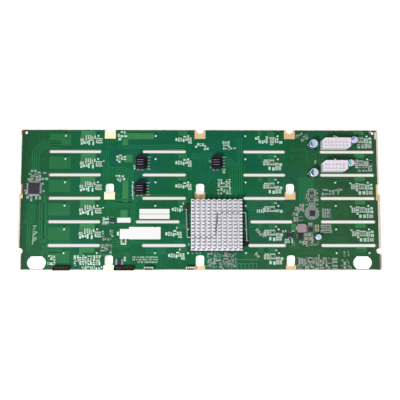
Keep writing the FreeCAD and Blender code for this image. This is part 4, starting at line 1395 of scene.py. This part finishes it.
# Other parts on the board, in the board's own millimetres
FREE_PARTS = [
    (139.4, 71.3, 4.5, 3.2, "g"), (139.3, 67.5, 3.8, 2.9, "m"), (104.4, 80, 4.7, 3.6, "g", 30),
    (109.1, 76.4, 4.7, 3.6, "g", 30), (-92.6, -50.5, 2.1, 6.1, "g"), (-87.7, -50.5, 2.1, 6.1, "g"),
    (-90.2, -52.7, 2.8, 2.2, "m"), (-97, -40.7, 2.4, 4.9, "m"), (-100.2, -72.2, 2.1, 4.9, "g"),
    (-100.2, -77.5, 2.1, 4.1, "g"), (-91.3, -72.5, 2.4, 4.4, "g"), (-91.3, -77.5, 2.4, 4.1, "g"),
    (-88.5, -70.4, 2.4, 4.6, "g"), (-88.4, -76.2, 2.6, 5.6, "g"), (68.3, -13.8, 1.4, 4.4, "m"),
    (70.7, -13.8, 1.4, 4.4, "m"), (73.1, -13.8, 1.4, 4.4, "m"), (75.2, -13.4, 1.4, 5.1, "g"),
    (67.6, -36, 2.4, 3.6, "g", -40), (69.9, -38.6, 2.6, 3.2, "g", -40), (71.8, -41.5, 2.6, 3.2, "g", -40),
    (74.9, -42.2, 1.7, 5.3, "m"), (77.7, -42.2, 1.7, 5.3, "m"), (66.7, -64.1, 2.8, 3.2, "g", -30),
    (68.8, -67.3, 3.3, 2.7, "g", -30), (-12.9, -3.6, 1.8, 2.8, "d"), (-13, -34.8, 1.8, 2.2, "w"),
    (-13, -39.8, 1.8, 4.4, "d"), (-13, -46.6, 1.8, 2.6, "d"), (-13.2, -53.2, 1.8, 2.2, "d"),
    (-16.4, -11, 2, 1.6, "m"), (-199.8, 33.8, 2.5, 2.9, "w"), (-195.8, 33.8, 3.1, 2.9, "w"),
    (-198.7, 30.5, 5, 1.7, "d", -8), (-192.8, 29.8, 5.5, 1.7, "d", -14), (-202.8, 30.1, 2.4, 1.5, "m"),
    (-199.9, 27.7, 2.1, 2.4, "g"), (-196.9, 27.7, 2.4, 1.9, "g"), (-193.5, 26.6, 3.1, 2.7, "g"),
    (-190, 27.6, 2.4, 2.7, "g"), (-191.3, 32, 4, 1.7, "m", -10), (-203.7, 23.8, 2.1, 2.9, "m"),
    (-200.9, 23.8, 1.9, 3.4, "g"), (-198.6, 24.3, 1.4, 2.4, "g"), (-193.7, 23.5, 3.6, 2.2, "g"),
    (-190, 23.7, 2.4, 3.2, "g"), (-186.7, 24.4, 3.3, 2.2, "w"), (-182.3, 24.4, 4, 2.7, "w"),
    (-184.9, 31.4, 4.5, 1.5, "m"), (-186.6, 18.7, 2.1, 2.4, "g"), (-185.6, 9.8, 2.6, 1.9, "m"),
    (-206.3, 7.8, 2.1, 4.4, "m"), (-207.7, 10.6, 1.7, 1.7, "m"), (-204.3, 2.6, 3.3, 3.2, "w"),
    (-200.1, 3.5, 2.1, 2.9, "m"), (-200.1, -0.7, 2.1, 3.9, "m"), (-194.2, 1.8, 2.1, 4.4, "m"),
    (-189.8, 1.6, 1.9, 4.6, "m"), (-97.3, 77.3, 2.4, 3.2, "g"), (-93.5, 76.1, 3.8, 2.7, "w"),
    (-89.1, 76, 4, 2.4, "w"), (-96.1, 72.5, 3.8, 3.2, "m"), (-93.6, 81.1, 3.1, 1.9, "m"),
    (-90.3, 80.5, 1.7, 3.6, "m"), (-98.6, 51.2, 2.6, 2.9, "m"), (-94.9, 52.7, 3.3, 1.9, "g"),
    (-95.7, 49.6, 2.1, 2.4, "d"), (-93, 49.2, 1.9, 3.6, "g"), (-89.8, 51, 3.6, 1.9, "m"),
    (-89.7, 48.1, 3.8, 1.9, "m"), (-98.6, 47.4, 2.1, 2.4, "g"), (-96.1, 45.2, 2.8, 2.4, "m"),
    (-99.3, 28.1, 2.6, 1.7, "m"), (-96.1, 28.1, 2.8, 2.2, "w"), (-94.7, 24.8, 2.4, 2.4, "d"),
    (-91.8, 27.6, 2.8, 2.2, "m"), (-90.5, 24.2, 3.1, 2.7, "m"), (-97.7, 24, 1.9, 2.7, "g"),
    (-95.1, 21.9, 2.8, 1.5, "m"), (-4.6, 63.3, 2.6, 2.7, "m"), (-2.1, 66.3, 2.4, 3.4, "m"),
    (0.8, 65.8, 2.6, 2.9, "d"), (3.6, 65.8, 1.9, 3.9, "m"), (6.3, 64, 2.1, 2.7, "m"),
    (5.8, 60.7, 2.6, 2.4, "m"), (9.1, 61, 2.6, 2.9, "m"), (129.2, 7.8, 2.1, 7.3, "g"),
    (136.8, 7.8, 2.1, 7.3, "g"), (133.1, 7.8, 3.3, 3.9, "d"), (133.5, 12.3, 5, 1.7, "g"),
    (133, 3.8, 4, 1.7, "m"), (126.9, 4.9, 1.4, 3.9, "m"), (129.4, 0.2, 2.1, 4.1, "g"),
    (133, 0.4, 3.1, 3.2, "d"), (137, 0.2, 3.1, 4.1, "g"), (140.2, -0.8, 1.9, 2.7, "m"),
    (130.6, -5.9, 2.1, 5.1, "g"), (133.5, -5.9, 2.1, 5.1, "m"), (136.3, -5.9, 2.1, 5.1, "g"),
    (116.6, -10.6, 2.6, 3.4, "m"), (119.8, -7.1, 2.4, 3.2, "m"), (122.8, -7.2, 2.1, 4.9, "m"),
    (119.8, -11.5, 2.4, 3.6, "g"), (122.8, -12.3, 2.1, 3.9, "g"), (117.2, -14.1, 2.8, 2.2, "m"),
    (111.9, -16.7, 3.1, 1.9, "m", 20), (115.3, -18.3, 2.8, 3.2, "w"), (112.6, -23.6, 2.6, 5.1, "g"),
    (115.7, -23.5, 2.1, 5.3, "g"), (119.9, -22.7, 4.5, 4.9, "d"), (113.8, -32.8, 2.6, 3.6, "w"),
    (114.1, -40.1, 2.8, 2.7, "w"), (113.9, -46.9, 2.8, 2.7, "w"), (129.7, -29.2, 2.1, 3.6, "m"),
    (132.5, -29.2, 2.1, 3.6, "m"), (137.5, -33.9, 2.1, 8.2, "t"), (140.3, -33.9, 2.1, 8.2, "t"),
    (125.4, -41.7, 4, 3.4, "g"), (130, -41.7, 3.8, 3.9, "m"), (134.3, -42.2, 3.3, 2.9, "g"),
    (125.9, -46.3, 5, 3.4, "t"), (131.7, -46.2, 4.7, 4.1, "t"), (122.7, -51.6, 2.4, 4.9, "m"),
    (125.9, -51.4, 2.6, 4.9, "t"), (132.9, -49.7, 2.4, 3.9, "t"), (135.8, -49.7, 2.1, 3.9, "t"),
    (119.1, -50.4, 2.8, 2.4, "m"), (146.4, -16.2, 1.9, 10.7, "g"), (149.2, -16.2, 1.9, 10.7, "g"),
    (152.1, -16.2, 1.9, 10.7, "g"), (154.6, -12.1, 2.1, 1.5, "m"), (150.1, -30.6, 11.6, 1.7, "g"),
    (145.2, -33.4, 1.9, 2.4, "g"), (150.1, -33.4, 1.7, 2.4, "g"), (154.9, -33.4, 1.9, 2.4, "g"),
    (150.1, -36.3, 11.6, 1.9, "g"), (151.2, -39, 10.7, 1, "m"), (151.2, 11.5, 3.6, 1.9, "g", 8),
    (155.4, 10.2, 2.8, 2.4, "m"), (159, 9.9, 2.8, 2.7, "m"), (162.8, 11.2, 3.3, 1.9, "g", 10),
    (167.6, 11.9, 5.5, 1.9, "w"), (159.3, 7, 3.1, 1.7, "m"), (155, 6.6, 3.1, 1.5, "m"),
    (146.7, 6.6, 3.1, 2.9, "m"), (150.8, 6.7, 3.1, 1.7, "g"), (147.6, 11.8, 2.4, 1.7, "m"),
    (117.7, -73.3, 2.4, 7, "g"), (120.6, -73, 2.1, 7.8, "m"), (123.3, -73.2, 1.7, 5.3, "g"),
    (129.9, -69.2, 5.5, 1.7, "g"), (130.5, -71.6, 4.7, 1.7, "d"), (134.6, -73.4, 2.6, 2.4, "m"),
    (137.7, -75.4, 2.1, 3.9, "g"), (140.5, -69.8, 1.4, 9.7, "m"), (142.9, -72.8, 2.1, 3.6, "g"),
    (145.7, -74.5, 2.4, 3.6, "t"), (142.3, -77.7, 2.4, 3.6, "g"), (144.2, -81.8, 5.2, 4.1, "t"),
    (159.3, -70.5, 6.4, 2.4, "g"), (159.3, -73.9, 6.4, 2.4, "m"), (159.3, -78.5, 6.4, 2.4, "g"),
    (159.3, -82.2, 6.4, 2.4, "m"), (171.2, -75.6, 2.6, 4.4, "m"), (171.2, -80.5, 2.6, 3.9, "m"),
    (126.6, -79.9, 4.5, 2.2, "m"), (132.5, -79.8, 4, 2.4, "g"), (138.3, -81.5, 3.8, 2.4, "t"),
    (149.6, -78.1, 2.6, 4.4, "m"), (152, -82.4, 4, 2.4, "g"), (190.7, 65.2, 3.3, 4.1, "w"),
    (196.3, 65.2, 3.1, 4.1, "w"), (193.2, 74.7, 7.4, 1.7, "g"), (193, 72.2, 5.5, 1.7, "d"),
    (193.1, 70.1, 7.6, 1.7, "g"), (199.4, 72, 3.1, 6.1, "g"), (203.7, 74.1, 3.1, 2.9, "m"),
    (201.1, 65.6, 2.1, 4.9, "g"), (204.6, 65.3, 3.6, 3.4, "g"), (187.1, 73.1, 2.6, 5.8, "g"),
    (205, 81.5, 2.8, 2.7, "w"), (180.5, 65.8, 2.8, 5.3, "g"), (183.9, 66, 2.4, 4.9, "g"),
    (186.6, 44.8, 2.6, 6.1, "g"), (193, 46.5, 7.8, 1.7, "g"), (192.9, 44.3, 4.7, 1.7, "d"),
    (193.4, 42.2, 7.1, 1.7, "g"), (199.9, 45.5, 4.5, 2.7, "g"), (199.9, 42.3, 4.5, 2.4, "g"),
    (204.6, 45.7, 3.6, 2.9, "m"), (204.7, 41.7, 3.8, 2.7, "m"), (191, 37.2, 3.3, 4.4, "w"),
    (195.8, 37.2, 3.1, 4.4, "w"), (199.6, 36.9, 2.1, 4.9, "g"), (203.7, 36.9, 4, 4.9, "g"),
    (184.1, 38, 4.3, 3.6, "t"), (180, 39, 2.6, 4.1, "g"), (174.4, 34.9, 3.3, 2.2, "m"),
    (169.3, 35.1, 4, 2.7, "m"),
]
# Boxes filled with rows of small parts: x0, y0, x1, y1, turned (1) or level (0)
BOARD_GROUPS = [
    (-115.4, -30, -107.6, -20.8, 0), (-115, -48.6, -103, -36, 1), (-116.2, -65.4, -104.6, -53.6, 0),
    (-148.6, -77.6, -113.6, -66, 0), (-139, -82.4, -113.9, -79, 0), (-179.2, -77.4, -170, -66, 0),
    (26.8, 60.4, 36.4, 70.2, 0), (36, 60.2, 42.8, 62.6, 0), (20.6, 6, 37, 24.6, 0),
    (115.4, 69.4, 129.4, 80.4, 0), (136.2, 40.8, 140.4, 47.2, 0), (176.8, -83, 181.6, -79, 0),
    (170.2, -67.8, 176.4, -61, 1), (17.2, -68.8, 40.2, -64.2, 1), (8.2, -77, 40.2, -69.2, 0),
    (14.2, -82.4, 28.2, -78.8, 0), (-10, -65.2, 5, -62, 1), (64, -69.2, 69.2, -63, 0),
    (-79.4, 31.8, -77.2, 45.4, 1), (-80.8, 0.6, -77, 21.8, 1), (10.8, 36.2, 13.6, 47.2, 1),
    (14.4, 30.2, 19, 32.6, 0), (100, -52, 112, -46.4, 1), (97.6, -38.4, 111.6, -37, 0),
    (115, -83, 154, -68.4, 0), (121, -56, 141, -38, 1), (125.6, -7, 141, 12.6, 0),
    (155.4, -83, 162.6, -68.6, 0), (167.2, -83, 177, -70.6, 1), (26.8, 31.4, 30.4, 36.6, 0),
    (8.4, -80, 42.6, -62.6, 1), (143, -40, 157, -28.6, 0), (145, 4, 170, 13, 0), (144.4, -22, 156, -10, 1),
    (113, -13.5, 122.5, -5, 1), (108.4, -26, 118, -15, 1), (121, -55, 139, -39, 0),
    (121.5, -54, 138, -40, 1), (117, -79, 152, -69, 1), (108.4, -57, 113, -45, 0),
]
# Groups with duller joints: everything right of this x, and what starts in these boxes
DULL_FROM_X = 108.0
DULL_GROUPS = [(-212, -6, -181, 36), (-118, -66, -102, -36), (-12, -84, 46, -60), (60, -84, 78, -30)]
BODY_HEIGHTS = {"g": 0.85, "t": 1.4, "d": 0.55}
LAND_HEIGHTS = {"m": 0.25, "w": 0.5}
KINDS = "gmdtw"
# Shares of the kinds in a filled box, and how full it is, for bright and dull groups
BRIGHT_FILL = ((40, 24, 22, 6, 6), 0.86)
DULL_FILL = ((30, 16, 42, 8, 2), 0.52)
# A listed rectangle is split where it is longer or wider than these, with gaps between
PART_LONG, PART_WIDE = 3.4, 2.0
GAP_LONG, GAP_WIDE = 0.3, 0.28
# Pitch of the rows in a filled box, with and across the parts, and least gap
FILL_LONG, FILL_WIDE = 3.1, 2.0
FILL_GAP = 0.62
FILL_MARGIN = 1.3            # from a part's middle to a slot, label or solid
CELL = 4.0                   # side of the squares in which laid parts are looked up
OUTLINE_LIMIT = 81.6         # no printed outline further out than this
FIELD_X, FIELD_Y = 212.0, 82.2   # filled boxes end here
HEATSINK_ROW = 10            # dark blocks along two sides of the heatsink: resistors on the left side, painted shade under the fin ends on the lower side
SIDE_ROW_PITCH = 5.2


class PartTray:
    """The meshes that small parts are made of."""

    def __init__(self, taken):
        self.bodies = {kind: Shape() for kind in BODY_HEIGHTS}
        self.ends = Shape()
        self.outlines = Shape()
        self.taken = taken

    def lay(self, kind, x, y, long, wide, angle):
        """One chip part with its two soldered ends, or one soldered land."""
        self.taken.setdefault((round(x / CELL), round(y / CELL)), []).append((x, y, (long + wide) / 4))
        for side in (-1, 1) if abs(y) < OUTLINE_LIMIT else ():
            line = self.outlines.at(x, y, Z_TOP, angle)
            line.block(0, side * (wide / 2 + 0.22), -SEAT, long + 0.4, 0.2, 0.05)
        end = self.ends.at(x, y, Z_TOP, angle)
        if kind in LAND_HEIGHTS:
            end.block(0, 0, -SEAT, long, wide, LAND_HEIGHTS[kind], 0.14)
            return
        height = BODY_HEIGHTS[kind]
        tip = min(0.7, long * 0.26)
        body = self.bodies[kind].at(x, y, Z_TOP, angle)
        body.block(0, 0, 0.04, long - 2 * tip, wide * 0.94, height, 0.08)
        for side in (-1, 1):
            end.block(side * (long - tip) / 2, 0, 0.02, tip, wide, height + 0.06, 0.1)
            end.block(side * (long / 2 + 0.1), 0, -SEAT, 0.4, wide * 1.08, 0.14, 0.05)

    def put(self, part, blocked, x=0.0, y=0.0):
        """A listed rectangle as one part, or as several side by side where it is large."""
        part_x, part_y, length, depth, kind, angle = (*part, 0)[:6]
        x += part_x
        y += part_y
        if meets_any((x - length / 2, y - depth / 2, x + length / 2, y + depth / 2), blocked):
            return
        turned = depth > length
        long = max(length, depth)
        wide = min(length, depth)
        along = max(1, round(long / PART_LONG))
        across = max(1, round(wide / PART_WIDE))
        size = (long / along - GAP_LONG, wide / across - GAP_WIDE)
        group_turn = Matrix.Rotation(math.radians(angle + (90.0 if turned else 0.0)), 2)
        part_angle = angle + (90.0 if turned == (size[0] >= size[1]) else 0.0)
        for i in range(along):
            for j in range(across):
                step = Vector((((i + 0.5) / along - 0.5) * long, ((j + 0.5) / across - 0.5) * wide))
                offset = group_turn @ step
                self.lay(kind, x + offset.x, y + offset.y, max(size), min(size), part_angle)

    def free(self, x, y, reach):
        """True where no part laid so far stands within reach."""
        column, row = round(x / CELL), round(y / CELL)
        cells = [(column + i, row + j) for i in (-1, 0, 1) for j in (-1, 0, 1)]
        near = [part for cell in cells for part in self.taken.get(cell, ())]
        return all(math.hypot(x - px, y - py) > reach + size for px, py, size in near)

    def fill(self, rng, box, turned, blocked, shares, density):
        """Sets parts in loose rows over a box, leaving out some and what would touch others."""
        x0, y0, x1, y1 = box
        step_x, step_y = (FILL_WIDE, FILL_LONG) if turned else (FILL_LONG, FILL_WIDE)
        columns = max(1, round((x1 - x0) / step_x))
        rows = max(1, round((y1 - y0) / step_y))
        for column in range(columns):
            for row in range(rows):
                x = x0 + (x1 - x0) * (column + 0.5) / columns + rng.uniform(-0.5, 0.5)
                y = y0 + (y1 - y0) * (row + 0.5) / rows + rng.uniform(-0.3, 0.3)
                kind = rng.choices(KINDS, shares)[0]
                long, wide = rng.uniform(1.7, 2.7), rng.uniform(1.0, 1.6)
                angle = 90.0 if turned != (rng.random() < 0.25) else 0.0
                kept = rng.random() < density and self.free(x, y, FILL_GAP)
                on_board = abs(x) < FIELD_X and abs(y) < FIELD_Y
                if kept and on_board and not inside_any(x, y, blocked, FILL_MARGIN):
                    self.lay(kind, x, y, long, wide, angle)

    def pieces(self, mark, solder, ceramic):
        # in the first tray these dark resistor bodies also hold the painted shade blocks under the heatsink
        self.bodies["d"].piece("chip_resistors" + mark, "chip_package", "resistor_glaze")
        self.bodies["g"].piece("ceramic_capacitors" + mark, "inductor_grey", ceramic)
        self.bodies["t"].piece("tantalum_capacitors" + mark, "inductor_grey", "tantalum_body")
        self.ends.piece("part_terminals" + mark, "tinned_pin", solder)
        self.outlines.piece("part_outlines" + mark, "header_white", "marking_ink")


class BACKPLANE_OT_small_parts(bpy.types.Operator):
    """Sets the chip resistors and capacitors in their groups"""

    bl_idname = "backplane.small_parts"
    bl_label = "Small parts"

    def execute(self, context):
        taken = {}
        trays = (PartTray(taken), PartTray(taken))
        blocked = keep_outs()
        self.bay_parts(trays[0], blocked)
        for part in FREE_PARTS:
            trays[is_dull(*part[:2])].put(part, blocked)
        for index, (x0, y0, x1, y1, turned) in enumerate(BOARD_GROUPS):
            dull = is_dull(x0, y0)
            shares, density = DULL_FILL if dull else BRIGHT_FILL
            rng = random.Random(100 + index)
            trays[dull].fill(rng, (x0, y0, x1, y1), turned, blocked, shares, density)
        self.heatsink_rows(trays[0].bodies["d"])
        trays[0].pieces("", "tinned_solder", "ceramic_body")
        trays[1].pieces("_dull", "aged_solder", "ash_ceramic")
        return {"FINISHED"}

    def bay_parts(self, tray, blocked):
        for bay, middle in RECEPTACLES.items():
            if bay in BARE_BAYS:
                continue
            shift_x, shift_y = GROUP_SHIFTS.get(bay, (0, 0))
            for part in THIRD_COLUMN_TOP if bay == (0, 2) else BAY_PARTS[bay[1]]:
                if bay != SHORT_BAY or part[1] > SHORT_BAY_DEPTH:
                    tray.put(part, blocked, middle.x + shift_x, middle.y + shift_y)

    def heatsink_rows(self, dark):
        """Dark blocks along the heatsink's lower and left sides: the lower row, one under each fin column,
        is painted shade under the fin ends; the left row is resistors.
        """
        low = box_of("heatsink")[0]
        for index in range(HEATSINK_ROW):
            # painted shade: a dark block under each fin column's end, standing for the shade below the
            # heatsink
            dark.at(low.x + 2.1 + index * FIN_PITCH, low.y - 1.7, Z_TOP)
            dark.block(0, 0, -SEAT, 2.6, 1.7, 0.6, 0.1)
            dark.at(low.x - 2.0, low.y + 3.0 + index * SIDE_ROW_PITCH, Z_TOP)
            dark.block(0, 0, -SEAT, 1.5, 1.7, 0.5, 0.1)


def is_dull(x, y):
    return x > DULL_FROM_X or inside_any(x, y, DULL_GROUPS)


# ---------------------------------------------------------------- print and labels
LABEL_RISE = 0.03
LABEL_SPLIT = 0.25           # half of the gap between the two rows' stickers


class BACKPLANE_OT_labels(bpy.types.Operator):
    """Sticks the blank labels on the board"""

    bl_idname = "backplane.labels"
    bl_label = "Blank labels"

    def execute(self, context):
        labels = Shape()
        z = Z_TOP + LABEL_RISE
        x0, y0, x1, y1 = TWO_ROW_LABEL
        split = (y0 + y1) / 2 - 0.1
        for box in ((x0, split + LABEL_SPLIT, x1, y1), (x0, y0, x1, split - LABEL_SPLIT), SMALL_LABEL):
            labels.plan(cut_corner_outline(box, 0.5), z, 0.12)
        labels.plan(cut_corner_outline(STEPPED_LABEL, 0.6), z, 0.14)
        labels.plan(cut_corner_outline(STEPPED_LABEL_LEFT, 0.6), z + 0.02, 0.14)
        labels.piece("blank_labels", "header_white", "sticker_paper")
        return {"FINISHED"}


# Printed frame left of the labels, and a comb of lines under the heatsink
PRINTED_FRAME = (-116.8, -65.8, -104.2, -53.1)
COMB_RAILS = [(41.9, -71.2), (41.9, -76.2)]
COMB_LONG = 27.0
COMB_TEETH = [(44.0 + index * 4.6, -83.0, -76.2) for index in range(6)]
# Rows of short dashes: y, and x of both ends
DASH_ROWS = [(-68.4, -79.6, -49.2), (-71.2, -79.6, -49.2), (-74.2, -73.2, -49.2)]
# Strokes and ticks beside the left side notch: x and y of both ends
STROKES = [(-197.4, -53.6, -196.4, -34), (-196.2, -50, -192.6, -46), (-195.8, -42.4, -192, -38.6)]
TICKS = [(-197, -50.5 + i * 2.3, -195.4 + (i % 3) * 1.2, -49.9 + i * 2.3) for i in range(9)]


class BACKPLANE_OT_printed_marks(bpy.types.Operator):
    """Prints plain outlines and ticks round the parts"""

    bl_idname = "backplane.printed_marks"
    bl_label = "Printed marks"

    def execute(self, context):
        sizes = context.scene.backplane_sizes
        width = sizes.ink_w / MM
        height = sizes.ink_t / MM
        z = Z_TOP - 0.01
        ink = Shape()
        for x0, y0, x1, y1 in (flat_box("regulator_chip_1", 0.9), PRINTED_FRAME):
            corners = [(x0, y0), (x1, y0), (x1, y1), (x0, y1)]
            for start, end in zip(corners, corners[1:] + corners[:1]):
                lay_line(ink, [start, end], width, z, height)
        for x, y in COMB_RAILS:
            lay_line(ink, [(x, y), (x + COMB_LONG, y)], width * 0.6, z, height)
        for x, y0, y1 in COMB_TEETH:
            lay_line(ink, [(x, y0), (x, y1)], width * 0.6, z, height)
        rng = random.Random(3)
        for y, x, x1 in DASH_ROWS:
            while x < x1:
                dash = rng.uniform(0.7, 2.2)
                rise = rng.uniform(0.7, 1.0)
                ink.plan(rectangle(x + dash / 2, y, dash, 2 * rise), z, height)
                x += dash + rng.choice((0.3, 0.5, 1.4))
        for lines, share in ((TICKS, 3.6), (STROKES, 4.0)):
            for x0, y0, x1, y1 in lines:
                lay_line(ink, [(x0, y0), (x1, y1)], width * share, z, height)
        ink.piece("printed_marks", "header_white", "marking_ink")
        return {"FINISHED"}


# ---------------------------------------------------------------- underside
LIGHT_PLACES = (25.6, 28.4)  # right of each receptacle's middle
LIGHT_DOME = [(0.5, 0.4), (0.5, 0.7), (0.38, 0.92), (0.18, 1.02)]


class BACKPLANE_OT_status_lights(bpy.types.Operator):
    """Adds the status lights beside each receptacle on the drive side"""

    bl_idname = "backplane.status_lights"
    bl_label = "Status lights"

    def execute(self, context):
        bodies = Shape()
        ends = Shape()
        for middle in RECEPTACLES.values():
            for offset in LIGHT_PLACES:
                for shape in (bodies, ends):
                    shape.at(middle.x + offset, middle.y, Z_UNDER, flip=True)
                bodies.block(0, 0, 0.02, 1.5, 1.2, 0.45, 0.06)
                bodies.lathe(0, 0, LIGHT_DOME, 12)
                for side in (-1, 1):
                    ends.block(side * 0.95, 0, -SEAT, 0.6, 1.2, 0.3, 0.06)
        bodies.piece("status_lights", "header_white", "white_moulding", smooth=40)
        ends.piece("status_light_ends", "tinned_pin", "tinned_solder")
        return {"FINISHED"}


# ---------------------------------------------------------------- stage
# Metres
FLOOR_REACH = 6.0
FLOOR_DROP = 0.0002          # under the part
FLOOR_LIFT = 0.78            # glow of the floor where it is seen directly
KEY_PLACE = (-0.46, -0.62, 1.15)
KEY_SIZE = 0.38
WHITE = (1.0, 1.0, 1.0)


def stage_material(name, colour, lift):
    """Pale surface that keeps shadows; rays that see it directly get a little lift."""
    f = Finish(bpy.data.materials.new(name))
    tone = f.shade(colour, f.noise(60.0, 2.0) * 0.02 + 0.99)
    glow = f.node("ShaderNodeEmission", None, {"Color": WHITE, "Strength": f.seen_ray() * lift})
    plain = f.surface(Base_Color=tone, Roughness=0.7)
    return f.done(f.node("ShaderNodeAddShader", None, {0: plain, 1: glow}))


class BACKPLANE_OT_stage(bpy.types.Operator):
    """Sets the floor, the soft light and the camera"""

    bl_idname = "backplane.stage"
    bl_label = "Stage"

    def execute(self, context):
        scene = context.scene
        stage = scene.backplane_stage
        self.floor(scene)
        self.light(scene, stage)
        self.camera(scene, stage)
        scene.view_settings.view_transform = "Standard"
        return {"FINISHED"}

    def floor(self, scene):
        floor = bpy.data.objects.new("floor", bpy.data.meshes.new("floor"))
        z = CAD_LOW.z - FLOOR_DROP
        corners = [(x, y, z) for x, y in rectangle(0, 0, 2 * FLOOR_REACH, 2 * FLOOR_REACH)]
        floor.data.from_pydata(corners, [], [(0, 1, 2, 3)])
        colour = tuple(scene.backplane_colours.floor)
        floor.data.materials.append(stage_material("pale_floor", colour, FLOOR_LIFT))
        scene.collection.objects.link(floor)

    def light(self, scene, stage):
        key = bpy.data.lights.new("key_light", "AREA")
        key.shape = "DISK"
        key.size = KEY_SIZE
        key.energy = stage.key_energy
        lamp = bpy.data.objects.new("key_light", key)
        lamp.location = KEY_PLACE
        lamp.rotation_euler = (-lamp.location).to_track_quat("-Z", "Y").to_euler()
        scene.collection.objects.link(lamp)
        world = Finish(bpy.data.worlds.new("soft_sky"))
        strength = world.seen_ray() * (1.0 - stage.sky) + stage.sky
        sky = world.node("ShaderNodeBackground", None, {"Color": WHITE, "Strength": strength})
        scene.world = world.done(sky)

    def camera(self, scene, stage):
        camera = bpy.data.cameras.new("camera")
        camera.sensor_width = 36.0
        camera.lens = stage.lens
        camera.clip_start = 0.01
        camera.clip_end = 50.0
        eye = bpy.data.objects.new("camera", camera)
        back = (Vector(stage.camera_place) - Vector(stage.camera_aim)).normalized()
        right = Vector((0.0, 1.0, 0.0)).cross(back).normalized()
        turn = Matrix((right, back.cross(right), back)).transposed()
        eye.matrix_world = Matrix.Translation(stage.camera_place) @ turn.to_4x4()
        scene.collection.objects.link(eye)
        scene.camera = eye


# ---------------------------------------------------------------- panel and run
STEPS = (
    BACKPLANE_OT_board,
    BACKPLANE_OT_ground_pads,
    BACKPLANE_OT_receptacles,
    BACKPLANE_OT_heatsink,
    BACKPLANE_OT_wire_clip,
    BACKPLANE_OT_cable_sockets,
    BACKPLANE_OT_power_headers,
    BACKPLANE_OT_edge_headers,
    BACKPLANE_OT_can_capacitors,
    BACKPLANE_OT_chips,
    BACKPLANE_OT_small_parts,
    BACKPLANE_OT_labels,
    BACKPLANE_OT_printed_marks,
    BACKPLANE_OT_status_lights,
    BACKPLANE_OT_stage,
)


class BACKPLANE_PT_dresser(bpy.types.Panel):
    """Lists the steps and their settings in the sidebar"""

    bl_idname = "BACKPLANE_PT_dresser"
    bl_label = "Backplane"
    bl_space_type = "VIEW_3D"
    bl_region_type = "UI"
    bl_category = "Backplane"

    def draw(self, context):
        layout = self.layout
        for step in STEPS:
            layout.operator(step.bl_idname)
        for name in GROUPS:
            group = getattr(context.scene, name)
            box = layout.box()
            for key in group.__annotations__:
                box.prop(group, key)


GROUPS = {
    "backplane_sizes": BackplaneSizes,
    "backplane_colours": BackplaneColours,
    "backplane_stage": BackplaneStage,
}


def register():
    for group in GROUPS.values():
        bpy.utils.register_class(group)
    for name, group in GROUPS.items():
        setattr(bpy.types.Scene, name, bpy.props.PointerProperty(type=group))
    for step in STEPS:
        bpy.utils.register_class(step)
    bpy.utils.register_class(BACKPLANE_PT_dresser)


def unregister():
    bpy.utils.unregister_class(BACKPLANE_PT_dresser)
    for step in reversed(STEPS):
        bpy.utils.unregister_class(step)
    for name in GROUPS:
        delattr(bpy.types.Scene, name)
    for group in reversed(GROUPS.values()):
        bpy.utils.unregister_class(group)


def main():
    register()
    for step in STEPS:
        category, name = step.bl_idname.split(".")
        getattr(getattr(bpy.ops, category), name)()


if __name__ == "__main__":
    main()
